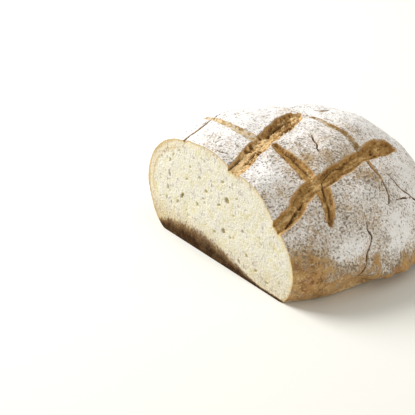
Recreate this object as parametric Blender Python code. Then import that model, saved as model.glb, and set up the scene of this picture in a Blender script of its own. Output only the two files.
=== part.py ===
"""Round country loaf with one slice cut off its end.

The loaf is one solid of baked dough. It starts as a sphere whose points are pushed out along
their rays until they meet the loaf's form, a slightly uneven dome on a narrower flat foot. The
slashes and cracks of the crust are pressed in along the surface, a knife plane takes the end
off, and the larger holes of the crumb are cut into the face that the knife left.

Units are metres and +Z is up. The cut face looks along -Y. The origin is on the floor, under
the middle of the loaf's bounding box.
"""

from dataclasses import dataclass

import bmesh
import bpy
import numpy as np
from mathutils import Matrix, Vector

MM = 0.001

# Driving dimensions of the form
RADIUS = 120 * MM
HEIGHT = 105 * MM
CUT_DISTANCE = 64.3 * MM
FOOT_RADIUS = 92 * MM
BELT_HEIGHT = 24 * MM
APEX_SLIDE_X = -12 * MM
APEX_SLIDE_Y = 10 * MM

# How uneven the form is round the compass, as shares of the radius or as lengths
OVAL_COS = -0.067
OVAL_SIN = 0.029
THREE_LOBE_SIN = -0.021
BELT_TILT_X = -6.4 * MM
BELT_TILT_Y = -14 * MM
FOOT_SHIFT_X = 3.6 * MM
FOOT_SHIFT_Y = -14 * MM

# Powers of the profile: dome against height, dome against radius, and the flank under the belt
DOME_RISE_POWER = 2.02
DOME_ROUND_POWER = 2.45
FLANK_POWER = 1.5

# The loaf's heart, from which the rays start, and how finely the sphere is divided
HEART = (0.0, 10 * MM, 30 * MM)
SPHERE_LEVEL = 7
RAY_REACH = 200 * MM
HALVINGS = 34

# Relief of the crust
PILLOW_SINK = 2.2 * MM
PILLOW_REACH = 13 * MM
PILLOW_DEPTH = 3.6 * MM
CRACK_SINK_SHARE = 0.5
CRACK_REACH = 4 * MM
FLOOR_SHARE = 0.56
LIP_SHARE = 1.15
FLOOR_BULGE = 0.3
DIP_SPAN = 2.5
ROUTE_STEP = 1.5 * MM
FOOT_FADE = 7 * MM
SEAM_SWELL = 2.4 * MM
SEAM_HEIGHT = 11 * MM
SEAM_WIDTH = 5 * MM
SEAM_BEARING = 16.0
SEAM_SPAN = 22.0
UNEVEN_SWELL = 0.9 * MM

# Slashes seen from above: depth, then points of x, y and half width, all in millimetres
SLASHES = {
    "middle": (4.6, ((17, -74, 9.6), (15, -56, 9.8), (8, -40, 9.2), (2, -22, 9.6),
                     (-5, -6, 10.6), (-12, 8, 11.0), (-20, 21, 8.4), (-24, 27, 5.0))),
    "right": (4.8, ((78, -74, 6.4), (77, -60, 6.8), (76, -48, 7.2), (71, -38, 6.8),
                    (67, -27, 6.8), (65, -10, 8.4), (61, 6, 8.4), (57, 22, 7.6),
                    (52, 40, 6.4), (47, 57, 7.8), (41, 73, 8.4), (37, 82, 6.4))),
    "front_left": (1.8, ((-84, -22, 2.0), (-66, -26, 2.8), (-48, -29, 3.6), (-28, -30, 4.4),
                         (-6, -28, 5.0))),
    "front_middle": (3.9, ((14, -21, 4.0), (25, -21, 5.0), (35, -21, 5.8), (46, -20, 6.6),
                           (57, -21, 7.2))),
    "front_right": (3.9, ((67, -16, 7.6), (78, -18, 7.2), (86, -20, 6.0), (92, -24, 4.4),
                          (96, -26, 2.4))),
    "back": (2.2, ((-66, 27, 1.8), (-45, 28, 2.2), (-21, 32, 2.6), (-3, 38, 3.0),
                   (10, 39, 3.4), (24, 42, 3.8), (40, 42, 4.2), (50, 43, 4.2))),
}

# Cracks seen from above, given as the slashes are
CRACKS = {
    "left": (2.4, ((-49, -74, 2.2), (-53, -55, 2.1), (-59, -38, 2.0), (-64, -26, 2.0),
                   (-67, -12, 2.1), (-66, 8, 2.3), (-61, 30, 2.3), (-54, 52, 2.0))),
    "back_crack": (2.4, ((58, 42, 3.0), (66, 41, 2.4), (74, 40, 2.2), (81, 41, 2.1),
                         (87, 38, 2.0), (91, 36, 1.8))),
    "far_crack": (2.2, ((-15, 40, 2.0), (-18, 50, 2.2), (-24, 60, 2.1), (-32, 72, 1.8))),
}

# Cracks down the flank: depth in millimetres, then points of bearing in degrees, height and
# half width in millimetres
FLANK_CRACKS = {
    "front": (2.6, ((4, 56, 1.8), (3.5, 49, 2.0), (4, 44, 2.1), (1.5, 38, 2.1),
                    (-0.5, 31, 2.2), (-2, 24, 2.0), (-5, 18, 1.7))),
}

# Larger holes of the crumb on the cut face: x, height, half length, half height and turn, in
# millimetres and degrees
HOLES = (
    (9, 60, 3.2, 2.9, 0), (4, 31, 2.9, 2.4, 30), (-20, 57, 2.6, 1.8, 10), (-54, 41, 1.8, 4.0, -35),
    (-29, 66, 1.9, 1.7, 0), (-42, 71, 1.8, 1.3, 0), (-32, 41, 2.8, 1.4, -30), (3, 74, 2.2, 1.4, 15),
    (-2, 52, 2.8, 1.2, 20), (30, 41, 1.8, 1.6, 0), (14, 29, 1.7, 1.5, 0), (-8, 26, 2.0, 1.7, 40),
    (36, 22, 2.3, 1.6, -30), (26, 12, 2.2, 1.5, -35), (48, 14, 2.4, 1.6, 30), (62, 9, 2.6, 1.3, 0),
    (-72, 55, 1.3, 3.4, 12), (-75, 41, 1.2, 3.0, 6), (-71, 67, 1.2, 2.6, -25), (55, 40, 1.7, 1.3, 0),
)
HOLE_DEPTH_SHARE = 1.3
HOLE_OFFSET_SHARE = 0.3
SMALL_HOLES = 34
SMALL_HOLE_SIZES = (1.0, 1.9)
SMALL_HOLE_MARGIN = 7 * MM
SMALL_HOLE_CLEARANCE = 1.6
SEED = 11

# Share of the triangles kept before the knife cuts the pressed form, and the shortest edge
KEPT_SHARE = 0.122
SHORT_EDGE = 0.08 * MM


@dataclass
class Route:
    """The middle line of a slash or crack on the form, its widths, and how deep it goes."""

    places: np.ndarray
    half_widths: np.ndarray
    depth: float
    bulge: float
    sink: float
    reach: float


def clear_scene():
    """Removes every object that the scene already holds."""
    for item in list(bpy.data.objects):
        bpy.data.objects.remove(item, do_unlink=True)


def make_material(name, color, roughness):
    """A plain principled finish with a colour and a roughness."""
    material = bpy.data.materials.new(name)
    material.use_nodes = True
    shader = material.node_tree.nodes["Principled BSDF"]
    shader.inputs["Base Color"].default_value = (*color, 1.0)
    shader.inputs["Roughness"].default_value = roughness
    shader.inputs["Metallic"].default_value = 0.0
    return material


def smooth_step(low, high, values):
    """A soft ramp from 0 at low to 1 at high."""
    share = np.clip((values - low) / (high - low), 0.0, 1.0)
    return share * share * (3.0 - 2.0 * share)


def form_distance(points):
    """How far points stand outside the loaf's form, measured level with the floor.

    The outline seen from above is an oval with a slight third lobe. Above the belt the radius
    shrinks as a superellipse to the top, and below it as a softer curve to the foot. The top
    slides a little sideways.
    """
    height = points[:, 2]
    slide = (height / HEIGHT) ** 2
    along_x = points[:, 0] - APEX_SLIDE_X * slide
    along_y = points[:, 1] - APEX_SLIDE_Y * slide
    bearing = np.arctan2(along_y, along_x)
    oval = OVAL_COS * np.cos(2 * bearing) + OVAL_SIN * np.sin(2 * bearing)
    outline = RADIUS * (1 + oval + THREE_LOBE_SIN * np.sin(3 * bearing))
    belt = BELT_HEIGHT + BELT_TILT_X * np.cos(bearing) + BELT_TILT_Y * np.sin(bearing)
    foot = FOOT_RADIUS + FOOT_SHIFT_X * np.cos(bearing) + FOOT_SHIFT_Y * np.sin(bearing)
    foot_share = foot / RADIUS
    rise = np.clip((height - belt) / (HEIGHT - belt), 0.0, 1.0)
    dome = (1 - rise ** DOME_RISE_POWER) ** (1 / DOME_ROUND_POWER)
    drop = np.clip((belt - height) / belt, 0.0, 1.0)
    flank = foot_share + (1 - foot_share) * np.sqrt(1 - drop ** FLANK_POWER)
    outside = np.hypot(along_x, along_y) - outline * np.where(height > belt, dome, flank)
    outside = np.where(height > HEIGHT, np.maximum(outside, height - HEIGHT), outside)
    return np.maximum(outside, -height)


def reach_form(starts, directions):
    """Where rays from inside the loaf leave its form, found by halving the ray again and again."""
    near = np.zeros(len(directions))
    far = np.full(len(directions), RAY_REACH)
    for _ in range(HALVINGS):
        middle = (near + far) / 2
        outside = form_distance(starts + directions * middle[:, None]) > 0
        far = np.where(outside, middle, far)
        near = np.where(outside, near, middle)
    return starts + directions * near[:, None]


def points_on_top(plan):
    """Drops plan positions, in metres, onto the top of the form."""
    starts = np.column_stack([plan, np.full(len(plan), BELT_HEIGHT)])
    upward = np.tile((0.0, 0.0, 1.0), (len(plan), 1))
    return reach_form(starts, upward)


def points_on_flank(bearings, heights):
    """Places bearings, in radians, and heights on the side of the form."""
    starts = np.column_stack([np.zeros((len(heights), 2)), heights])
    outward = np.column_stack([np.cos(bearings), np.sin(bearings), np.zeros(len(bearings))])
    return reach_form(starts, outward)


def smooth_route(knots):
    """A curve through the knots by Catmull and Rom's rule, sampled every route step."""
    knots = np.asarray(knots, dtype=float)
    padded = np.vstack([2 * knots[0] - knots[1], knots, 2 * knots[-1] - knots[-2]])
    pieces = []
    for first, start, end, last in zip(padded, padded[1:], padded[2:], padded[3:]):
        count = max(2, int(np.linalg.norm((end - start)[:2]) / ROUTE_STEP))
        share = (np.arange(count) / count)[:, None]
        bend = 2 * first - 5 * start + 4 * end - last
        twist = 3 * start - first - 3 * end + last
        pieces.append(start + 0.5 * share * (end - first + share * (bend + share * twist)))
    return np.vstack([*pieces, knots[-1:]])


def slash_route(depth, knots):
    """A slash laid on the top of the form, with a floor that bulges and wide soft shoulders."""
    route = smooth_route(np.array(knots) * MM)
    sink = PILLOW_SINK * min(depth * MM / PILLOW_DEPTH, 1.0)
    places = points_on_top(route[:, :2])
    return Route(places, route[:, 2], depth * MM, FLOOR_BULGE, sink, PILLOW_REACH)


def crack_route(depth, places, half_widths):
    """A crack with places that lie on the form: narrow shoulders and no bulge."""
    return Route(places, half_widths, depth * MM, 0.0, CRACK_SINK_SHARE * depth * MM, CRACK_REACH)


def all_routes():
    """Every slash and crack, laid on the form."""
    routes = [slash_route(depth, knots) for depth, knots in SLASHES.values()]
    for depth, knots in CRACKS.values():
        route = smooth_route(np.array(knots) * MM)
        routes.append(crack_route(depth, points_on_top(route[:, :2]), route[:, 2]))
    for depth, knots in FLANK_CRACKS.values():
        route = smooth_route(np.array(knots) * (np.radians(1.0) * RADIUS, MM, MM))
        places = points_on_flank(route[:, 0] / RADIUS, route[:, 1])
        routes.append(crack_route(depth, places, route[:, 2]))
    return routes


def press_in_slashes(points):
    """Depth of the slashes and of the dip beside them at each point."""
    groove = np.zeros(len(points))
    dip = np.zeros(len(points))
    for route in all_routes():
        span = route.reach * DIP_SPAN + route.half_widths.max()
        low = route.places.min(axis=0) - span
        high = route.places.max(axis=0) + span
        near = np.flatnonzero(np.all((points > low) & (points < high), axis=1))
        gaps = np.linalg.norm(points[near, None, :] - route.places[None, :, :], axis=2)
        relative = (gaps / route.half_widths).min(axis=1)
        beside = np.maximum((gaps - route.half_widths).min(axis=1), 0.0)
        raised = route.bulge * (1 - np.minimum(relative, 1.0) ** 2)
        cut = route.depth * (1 - smooth_step(FLOOR_SHARE, LIP_SHARE, relative) - raised)
        sink = route.sink * np.exp(-(beside / route.reach) ** 2)
        groove[near] = np.maximum(groove[near], cut)
        dip[near] = np.maximum(dip[near], sink)
    return groove + dip


def seam_fold(points):
    """Height of the fold of dough that runs low along the flank under the front crack."""
    bearing = np.degrees(np.arctan2(points[:, 1], points[:, 0]))
    round_share = np.exp(-((bearing - SEAM_BEARING) / SEAM_SPAN) ** 2)
    level_share = np.exp(-((points[:, 2] - SEAM_HEIGHT) / SEAM_WIDTH) ** 2)
    return SEAM_SWELL * round_share * level_share


def uneven_swell(points):
    """Slow swells of the dough: a few crossed waves, none in step with another."""
    x, y, z = (points / RADIUS).T
    waves = np.sin(5.1 * x + 2.3 * y + 1.0) * np.cos(4.3 * y - 3.1 * z)
    waves = waves + 0.6 * np.sin(9.7 * y + 4.9 * x - 6.1 * z) * np.cos(8.3 * x + 0.4)
    return UNEVEN_SWELL * waves


def make_loaf(finish):
    """The baked dough: a sphere pushed out to the form, with the crust's relief pressed in."""
    mesh = bpy.data.meshes.new("loaf")
    ball = bmesh.new()
    bmesh.ops.create_icosphere(ball, subdivisions=SPHERE_LEVEL, radius=1.0)
    ball.to_mesh(mesh)
    ball.free()
    directions = np.empty(len(mesh.vertices) * 3, dtype=np.float32)
    mesh.vertices.foreach_get("co", directions)
    directions = directions.reshape(-1, 3).astype(float)
    directions /= np.linalg.norm(directions, axis=1)[:, None]
    points = reach_form(np.tile(HEART, (len(directions), 1)), directions)
    mesh.vertices.foreach_set("co", points.astype(np.float32).ravel())
    mesh.update()
    normals = np.empty(len(points) * 3, dtype=np.float32)
    mesh.vertex_normals.foreach_get("vector", normals)
    normals = normals.reshape(-1, 3).astype(float)
    relief = uneven_swell(points) + seam_fold(points) - press_in_slashes(points)
    relief = relief * smooth_step(0.0, FOOT_FADE, points[:, 2])
    points = points + normals * relief[:, None]
    points[:, 2] = np.maximum(points[:, 2], 0.0)
    kept = points[points[:, 1] > -CUT_DISTANCE]
    middle = (kept.min(axis=0) + kept.max(axis=0)) / 2
    middle[1] = (kept[:, 1].max() - CUT_DISTANCE) / 2
    middle[2] = 0.0
    mesh.vertices.foreach_set("co", points.astype(np.float32).ravel())
    mesh.update()
    mesh.shade_smooth()
    mesh.materials.append(finish)
    return bpy.data.objects.new("loaf", mesh), Vector(middle)


def make_knife(finish):
    """The block that takes away everything beyond the knife's plane."""
    mesh = bpy.data.meshes.new("knife")
    block = bmesh.new()
    bmesh.ops.create_cube(block, size=1.0)
    depth = 2 * RADIUS
    centre = Vector((0.0, -CUT_DISTANCE - depth / 2, HEIGHT / 2))
    scale = Matrix.Diagonal((4 * RADIUS, depth, 3 * HEIGHT, 1.0))
    bmesh.ops.transform(block, matrix=Matrix.Translation(centre) @ scale, verts=block.verts)
    block.to_mesh(mesh)
    block.free()
    mesh.materials.append(finish)
    return bpy.data.objects.new("knife", mesh)


def hole_list():
    """The named holes, then seeded smaller ones that keep clear of the rim and of each other."""
    holes = [tuple(float(value) for value in hole) for hole in HOLES]
    rng = np.random.default_rng(SEED)
    while len(holes) < len(HOLES) + SMALL_HOLES:
        x = rng.uniform(-RADIUS, RADIUS)
        z = rng.uniform(SMALL_HOLE_MARGIN, HEIGHT)
        half_length, half_height = rng.uniform(*SMALL_HOLE_SIZES, 2)
        turn = rng.uniform(-90, 90)
        inside = form_distance(np.array([[x, -CUT_DISTANCE, z]]))[0] < -SMALL_HOLE_MARGIN
        below_top = form_distance(np.array([[x, -CUT_DISTANCE, z + SMALL_HOLE_MARGIN]]))[0] < 0
        spaced = all(
            np.hypot(x / MM - other[0], z / MM - other[1])
            > max(half_length, half_height) + max(other[2], other[3]) + SMALL_HOLE_CLEARANCE
            for other in holes
        )
        if inside and below_top and spaced:
            holes.append((x / MM, z / MM, half_length, half_height, turn))
    return holes


def make_holes(finish):
    """Flattened balls just ahead of the cut face, which leave the crumb's holes in it."""
    mesh = bpy.data.meshes.new("holes")
    balls = bmesh.new()
    for x, z, half_length, half_height, turn in hole_list():
        depth = HOLE_DEPTH_SHARE * (half_length + half_height) / 2
        ahead = CUT_DISTANCE + HOLE_OFFSET_SHARE * depth * MM
        place = Matrix.Translation((x * MM, -ahead, z * MM))
        turned = Matrix.Rotation(np.radians(-turn), 4, "Y")
        scale = Matrix.Diagonal((half_length * MM, depth * MM, half_height * MM, 1.0))
        large = half_length + half_height > 2 * SMALL_HOLE_SIZES[1]
        level = 2 if large else 1
        matrix = place @ turned @ scale
        bmesh.ops.create_icosphere(balls, subdivisions=level, radius=1.0, matrix=matrix)
    balls.to_mesh(mesh)
    balls.free()
    mesh.materials.append(finish)
    return bpy.data.objects.new("holes", mesh)


def as_guide(item, collection):
    """Puts a cutter in its collection and keeps it out of the picture."""
    collection.objects.link(item)
    item.hide_render = True
    item.display_type = "WIRE"


def cut_with(item, cutter):
    """Takes the cutter's volume away from the item and brings its finish to the new faces."""
    modifier = item.modifiers.new(cutter.name, "BOOLEAN")
    modifier.operation = "DIFFERENCE"
    modifier.object = cutter
    modifier.material_mode = "TRANSFER"


def main():
    """Builds the loaf and its two cutters."""
    clear_scene()
    parts = bpy.data.collections.new("round_loaf")
    cutters = bpy.data.collections.new("cutters")
    bpy.context.scene.collection.children.link(parts)
    bpy.context.scene.collection.children.link(cutters)

    crust = make_material("crust", (0.46, 0.33, 0.20), 0.85)
    crumb = make_material("crumb", (0.82, 0.75, 0.58), 0.9)

    loaf, middle = make_loaf(crust)
    parts.objects.link(loaf)
    knife = make_knife(crumb)
    holes = make_holes(crumb)
    for cutter in (knife, holes):
        as_guide(cutter, cutters)

    thin = loaf.modifiers.new("fewer_triangles", "DECIMATE")
    thin.ratio = KEPT_SHARE
    cut_with(loaf, knife)
    cut_with(loaf, holes)
    tidy = loaf.modifiers.new("short_edges", "WELD")
    tidy.merge_threshold = SHORT_EDGE
    loaf.modifiers.new("triangles", "TRIANGULATE")

    for item in (loaf, knife, holes):
        item.location = -middle


main()
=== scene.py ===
"""Round country loaf, cut once: the looks of its crust, its slashes and its crumb.

The crust and the crumb are surfaces worked out with numpy on grids of two parameters, round the
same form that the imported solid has. +Z is up, and sizes are in metres unless a docstring says
millimetres.
"""

import logging
import math
from dataclasses import dataclass, field
from enum import Enum
from typing import Any

import bpy
import numpy as np
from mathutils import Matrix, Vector

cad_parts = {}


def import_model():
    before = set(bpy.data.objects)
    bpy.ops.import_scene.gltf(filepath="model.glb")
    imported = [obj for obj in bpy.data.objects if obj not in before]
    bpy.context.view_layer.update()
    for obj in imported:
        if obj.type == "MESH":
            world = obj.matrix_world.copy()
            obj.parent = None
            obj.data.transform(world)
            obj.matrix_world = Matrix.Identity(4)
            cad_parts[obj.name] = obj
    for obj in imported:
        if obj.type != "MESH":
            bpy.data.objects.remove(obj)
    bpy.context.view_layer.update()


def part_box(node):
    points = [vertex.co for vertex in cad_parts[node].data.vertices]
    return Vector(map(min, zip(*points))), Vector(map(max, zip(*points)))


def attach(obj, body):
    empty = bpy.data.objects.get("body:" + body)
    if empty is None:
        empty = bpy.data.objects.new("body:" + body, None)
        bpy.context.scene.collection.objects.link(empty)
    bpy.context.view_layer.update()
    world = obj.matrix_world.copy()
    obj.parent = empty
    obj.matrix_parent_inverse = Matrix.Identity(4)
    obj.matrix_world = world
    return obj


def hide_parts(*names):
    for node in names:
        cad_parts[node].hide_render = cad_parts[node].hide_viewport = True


Array = np.ndarray
Triple = tuple[float, float, float]
Color = tuple[float, float, float, float]
MM = 0.001
BODY = "root"
NODE = "loaf"
HASH_FACTORS = (374761393, 668265263, 1442695041)
HASH_SEED = 974634777
HASH_MIX = 1274126177
HASH_WORD = 0xFFFFFFFF
SLOPE_MASK = 0x3FF
SLOPE_SHIFTS = (0, 10, 20)
SEED_OFFSET = 17.31
NOISE_GAIN = 1.6
log = logging.getLogger("round_loaf")


def linear(red: float, green: float, blue: float) -> Color:
    """A colour named by its screen values of 0 to 255, as the linear values a shader takes.

    The curve is the usual one of screens: straight near black, a power of 2.4 above it.

    Args:
        red, green, blue: the screen values.

    Returns:
        The linear colour with full alpha.
    """
    shares = [value / 255 for value in (red, green, blue)]
    curved = [c / 12.92 if c <= 0.04045 else ((c + 0.055) / 1.055) ** 2.4 for c in shares]
    return (*curved, 1.0)


def smooth_step(low: float, high: float, values: Array) -> Array:
    """A soft ramp, 3 s^2 - 2 s^3, from 0 at low to 1 at high.

    Args:
        low, high: the ramp's ends. Where low is the larger, the ramp falls as values grow.
        values: where the ramp is read.

    Returns:
        The ramp's height at each value.
    """
    share = np.clip((values - low) / (high - low), 0.0, 1.0)
    return share * share * (3.0 - 2.0 * share)


def bell(values: Array, width: float) -> Array:
    """A bell curve, exp(-(v / width)^2)."""
    return np.exp(-(values / width) ** 2)


def unit(vectors: Array) -> Array:
    """Each row divided by its length."""
    return vectors / np.maximum(np.linalg.norm(vectors, axis=-1, keepdims=True), 1e-12)


def level_rays(angles: Array) -> Array:
    """Unit vectors (cos a, 0, sin a) in a plane along the cut."""
    return np.stack([np.cos(angles), np.zeros(len(angles)), np.sin(angles)], axis=1)


def lattice_noise(points: Array, cell: float, seed: int) -> Array:
    """Gradient noise from about -1 to 1.

    Every corner of a cubic lattice gets a hashed slope; a point's value is the sum over its
    cell's eight corners of slope dot offset, weighted by the quintic fade of the offset.

    Args:
        points: n by 3 places.
        cell: the lattice's pitch.
        seed: which of many noises.

    Returns:
        One value for each place.
    """
    scaled = points / cell + SEED_OFFSET * (seed + 1)
    base = np.floor(scaled).astype(np.int64)
    offset = scaled - base
    fade = offset ** 3 * (offset * (offset * 6 - 15) + 10)
    total = np.zeros(len(points))
    for corner in np.ndindex(2, 2, 2):
        shift = np.array(corner)
        mixed = sum(ids * factor for ids, factor in zip((base + shift).T, HASH_FACTORS))
        mixed = (mixed + seed * HASH_SEED) & HASH_WORD
        mixed = ((mixed ^ (mixed >> 13)) * HASH_MIX) & HASH_WORD
        mixed ^= mixed >> 16
        slopes = np.stack([(mixed >> bits) & SLOPE_MASK for bits in SLOPE_SHIFTS], axis=1)
        slopes = slopes / (SLOPE_MASK / 2) - 1.0
        weight = np.prod(np.where(shift == 1, fade, 1 - fade), axis=1)
        total += weight * np.sum(slopes * (offset - shift), axis=1)
    return NOISE_GAIN * total


@dataclass(frozen=True)
class Noise:
    """A noise: its height, its coarsest cell, how many noises it adds up, and its number.

    Each noise of the sum has half the cell and keep times the height of the one before.
    """

    height: float
    cell: float
    octaves: int
    seed: int
    keep: float = 0.5

    def at(self, points: Array) -> Array:
        """The noise's value at n by 3 places.

        Args:
            points: the places.

        Returns:
            One value for each place.
        """
        total = np.zeros(len(points))
        share = 1.0
        for octave in range(self.octaves):
            cell = self.cell / 2 ** octave
            total += share * lattice_noise(points, cell, self.seed + 31 * octave)
            share *= self.keep
        return self.height * total


@dataclass(frozen=True)
class Ramp:
    """A soft step from 0 at low to 1 at high."""

    low: float
    high: float

    def rise(self, values: Array) -> Array:
        """The step's height at the values."""
        return smooth_step(self.low, self.high, values)

    def fall(self, values: Array) -> Array:
        """One less the step's height."""
        return 1 - smooth_step(self.low, self.high, values)


@dataclass(frozen=True)
class LoafForm:
    """The form of the whole loaf before its relief, round its own middle on the floor."""

    radius: float = 120 * MM
    height: float = 105 * MM
    cut_distance: float = 64.3 * MM
    foot_radius: float = 92 * MM
    belt_height: float = 24 * MM
    apex_slide: tuple[float, float] = (-12 * MM, 10 * MM)
    oval: tuple[float, float] = (-0.067, 0.029)
    third_lobe: float = -0.021
    belt_tilt: tuple[float, float] = (-6.4 * MM, -14 * MM)
    foot_shift: tuple[float, float] = (3.6 * MM, -14 * MM)
    rise_power: float = 2.02
    round_power: float = 2.45
    flank_power: float = 1.5
    heart: Triple = (0.0, 10 * MM, 30 * MM)
    reach_limit: float = 200 * MM
    halvings: int = 30

    def outside(self, points: Array) -> Array:
        """How far points stand outside the form, measured level with the floor.

        The outline seen from above is radius times one plus an oval and a third lobe. Above the
        belt the radius falls as (1 - rise^a)^(1/b) to the top; below it runs in to the foot as
        foot + (1 - foot) sqrt(1 - drop^c). The top slides sideways with the height squared.

        Args:
            points: n by 3 places round the loaf's middle.

        Returns:
            One distance for each place, negative inside.
        """
        height = points[:, 2]
        slide = (height / self.height) ** 2
        along_x = points[:, 0] - self.apex_slide[0] * slide
        along_y = points[:, 1] - self.apex_slide[1] * slide
        bearing = np.arctan2(along_y, along_x)
        oval = self.oval[0] * np.cos(2 * bearing) + self.oval[1] * np.sin(2 * bearing)
        outline = self.radius * (1 + oval + self.third_lobe * np.sin(3 * bearing))
        belt = self.belt_height + self.belt_tilt[0] * np.cos(bearing)
        belt = belt + self.belt_tilt[1] * np.sin(bearing)
        foot = self.foot_radius + self.foot_shift[0] * np.cos(bearing)
        foot = (foot + self.foot_shift[1] * np.sin(bearing)) / self.radius
        rise = np.clip((height - belt) / (self.height - belt), 0.0, 1.0)
        dome = (1 - rise ** self.rise_power) ** (1 / self.round_power)
        drop = np.clip((belt - height) / belt, 0.0, 1.0)
        flank = foot + (1 - foot) * np.sqrt(1 - drop ** self.flank_power)
        outside = np.hypot(along_x, along_y) - outline * np.where(height > belt, dome, flank)
        above = np.maximum(outside, height - self.height)
        outside = np.where(height > self.height, above, outside)
        return np.maximum(outside, -height)

    def reach(self, starts: Array, directions: Array) -> Array:
        """Where rays from inside leave the form, found by halving each ray again and again.

        Args:
            starts: n by 3 places inside the form.
            directions: n by 3 unit vectors.

        Returns:
            n by 3 places on the form.
        """
        near = np.zeros(len(directions))
        far = np.full(len(directions), self.reach_limit)
        for _ in range(self.halvings):
            middle = (near + far) / 2
            out = self.outside(starts + directions * middle[:, None]) > 0
            far = np.where(out, middle, far)
            near = np.where(out, near, middle)
        return starts + directions * near[:, None]

    def reach_from(self, start: Array, directions: Array) -> Array:
        """Where rays from one place leave the form."""
        return self.reach(np.tile(start, (len(directions), 1)), directions)

    def on_top(self, plan: Array) -> Array:
        """Plan positions lifted onto the top of the form."""
        starts = np.column_stack([plan, np.full(len(plan), self.belt_height)])
        return self.reach(starts, np.tile((0.0, 0.0, 1.0), (len(plan), 1)))

    def on_flank(self, bearings: Array, heights: Array) -> Array:
        """Bearings and heights carried out to the side of the form.

        Args:
            bearings: n angles round the loaf, in radians.
            heights: n heights over the floor.

        Returns:
            n by 3 places on the form.
        """
        starts = np.column_stack([np.zeros((len(heights), 2)), heights])
        level = np.zeros(len(bearings))
        outward = np.column_stack([np.cos(bearings), np.sin(bearings), level])
        return self.reach(starts, outward)


class Kind(Enum):
    """What a mark in the crust is."""

    TORN = "torn"
    DUSTED = "dusted"
    SPLIT = "split"
    CREVICE = "crevice"


@dataclass(frozen=True)
class Trail:
    """How points lie to the middle line of a mark.

    Each array holds one value for a point: its distance from the line over the half width there,
    that half width, its distance from the mark's edge (negative inside), how far along the line
    it lies, and how far to the line's one side (negative on the other).
    """

    relative: Array
    half: Array
    beside: Array
    along: Array
    across: Array


@dataclass(frozen=True)
class Mark:
    """A slash or a crack: its kind, its depth and its knots, all in millimetres.

    A mark on the top has knots of x, y and half width; one on the flank has knots of bearing in
    degrees, height and half width. A crevice is cut below the floor of the slash it lies in.
    Crumble says how much of a torn floor is loose crumbs, and powder how much flour a dusted
    floor still holds.
    """

    name: str
    kind: Kind
    depth: float
    knots: tuple[Triple, ...]
    on_flank: bool = False
    crumble: float = 0.25
    powder: float = 0.4
    step: float = 1.5 * MM

    def trace(self, form: LoafForm) -> tuple[Array, Array]:
        """The mark's middle line, a smooth cubic from knot to knot, laid on the form.

        Args:
            form: the loaf's form.

        Returns:
            The line's places and its half widths.
        """
        scale = (math.radians(1.0) * form.radius, MM, MM) if self.on_flank else (MM, MM, MM)
        knots = np.array(self.knots, dtype=float) * scale
        padded = np.vstack([2 * knots[0] - knots[1], knots, 2 * knots[-1] - knots[-2]])
        pieces = []
        for first, start, end, last in zip(padded, padded[1:], padded[2:], padded[3:]):
            count = max(2, int(np.linalg.norm((end - start)[:2]) / self.step))
            share = (np.arange(count) / count)[:, None]
            bend = 2 * first - 5 * start + 4 * end - last
            twist = 3 * start - first - 3 * end + last
            pieces.append(start + 0.5 * share * (end - first + share * (bend + share * twist)))
        route = np.vstack([*pieces, knots[-1:]])
        if self.on_flank:
            places = form.on_flank(route[:, 0] / form.radius, route[:, 1])
        else:
            places = form.on_top(route[:, :2])
        return places, route[:, 2]

    def follow(self, form: LoafForm, points: Array, normals: Array,
               reach: float) -> tuple[Array, Trail]:
        """Finds the points near the mark and how they lie to its middle line.

        For each stretch of the line, every point's offset from its nearest place there is
        measured, and the stretch with the least offset over half width is kept.

        Args:
            form: the loaf's form.
            points: n by 3 places on the form.
            normals: the form's outward normals there.
            reach: how far from the line points still count.

        Returns:
            The numbers of the points that are near, and their trail.
        """
        places, half_widths = self.trace(form)
        inside = (points > places.min(axis=0) - reach) & (points < places.max(axis=0) + reach)
        near = np.flatnonzero(np.all(inside, axis=1))
        spots = points[near]
        facing = normals[near]
        relative = np.full(len(near), np.inf)
        half, beside, along, across = np.zeros((4, len(near)))
        travelled = 0.0
        for start, end, low, high in zip(places, places[1:], half_widths, half_widths[1:]):
            run = end - start
            length = np.linalg.norm(run)
            share = np.clip((spots - start) @ run / length ** 2, 0.0, 1.0)
            offset = spots - start - share[:, None] * run
            gap = np.linalg.norm(offset, axis=1)
            width = low + share * (high - low)
            better = gap / width < relative
            relative = np.where(better, gap / width, relative)
            half = np.where(better, width, half)
            beside = np.where(better, gap - width, beside)
            along = np.where(better, travelled + share * length, along)
            side = np.einsum("ij,ij->i", np.cross(facing, run / length), offset)
            across = np.where(better, side, across)
            travelled += length
        return near, Trail(relative, half, beside, along, across)


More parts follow.
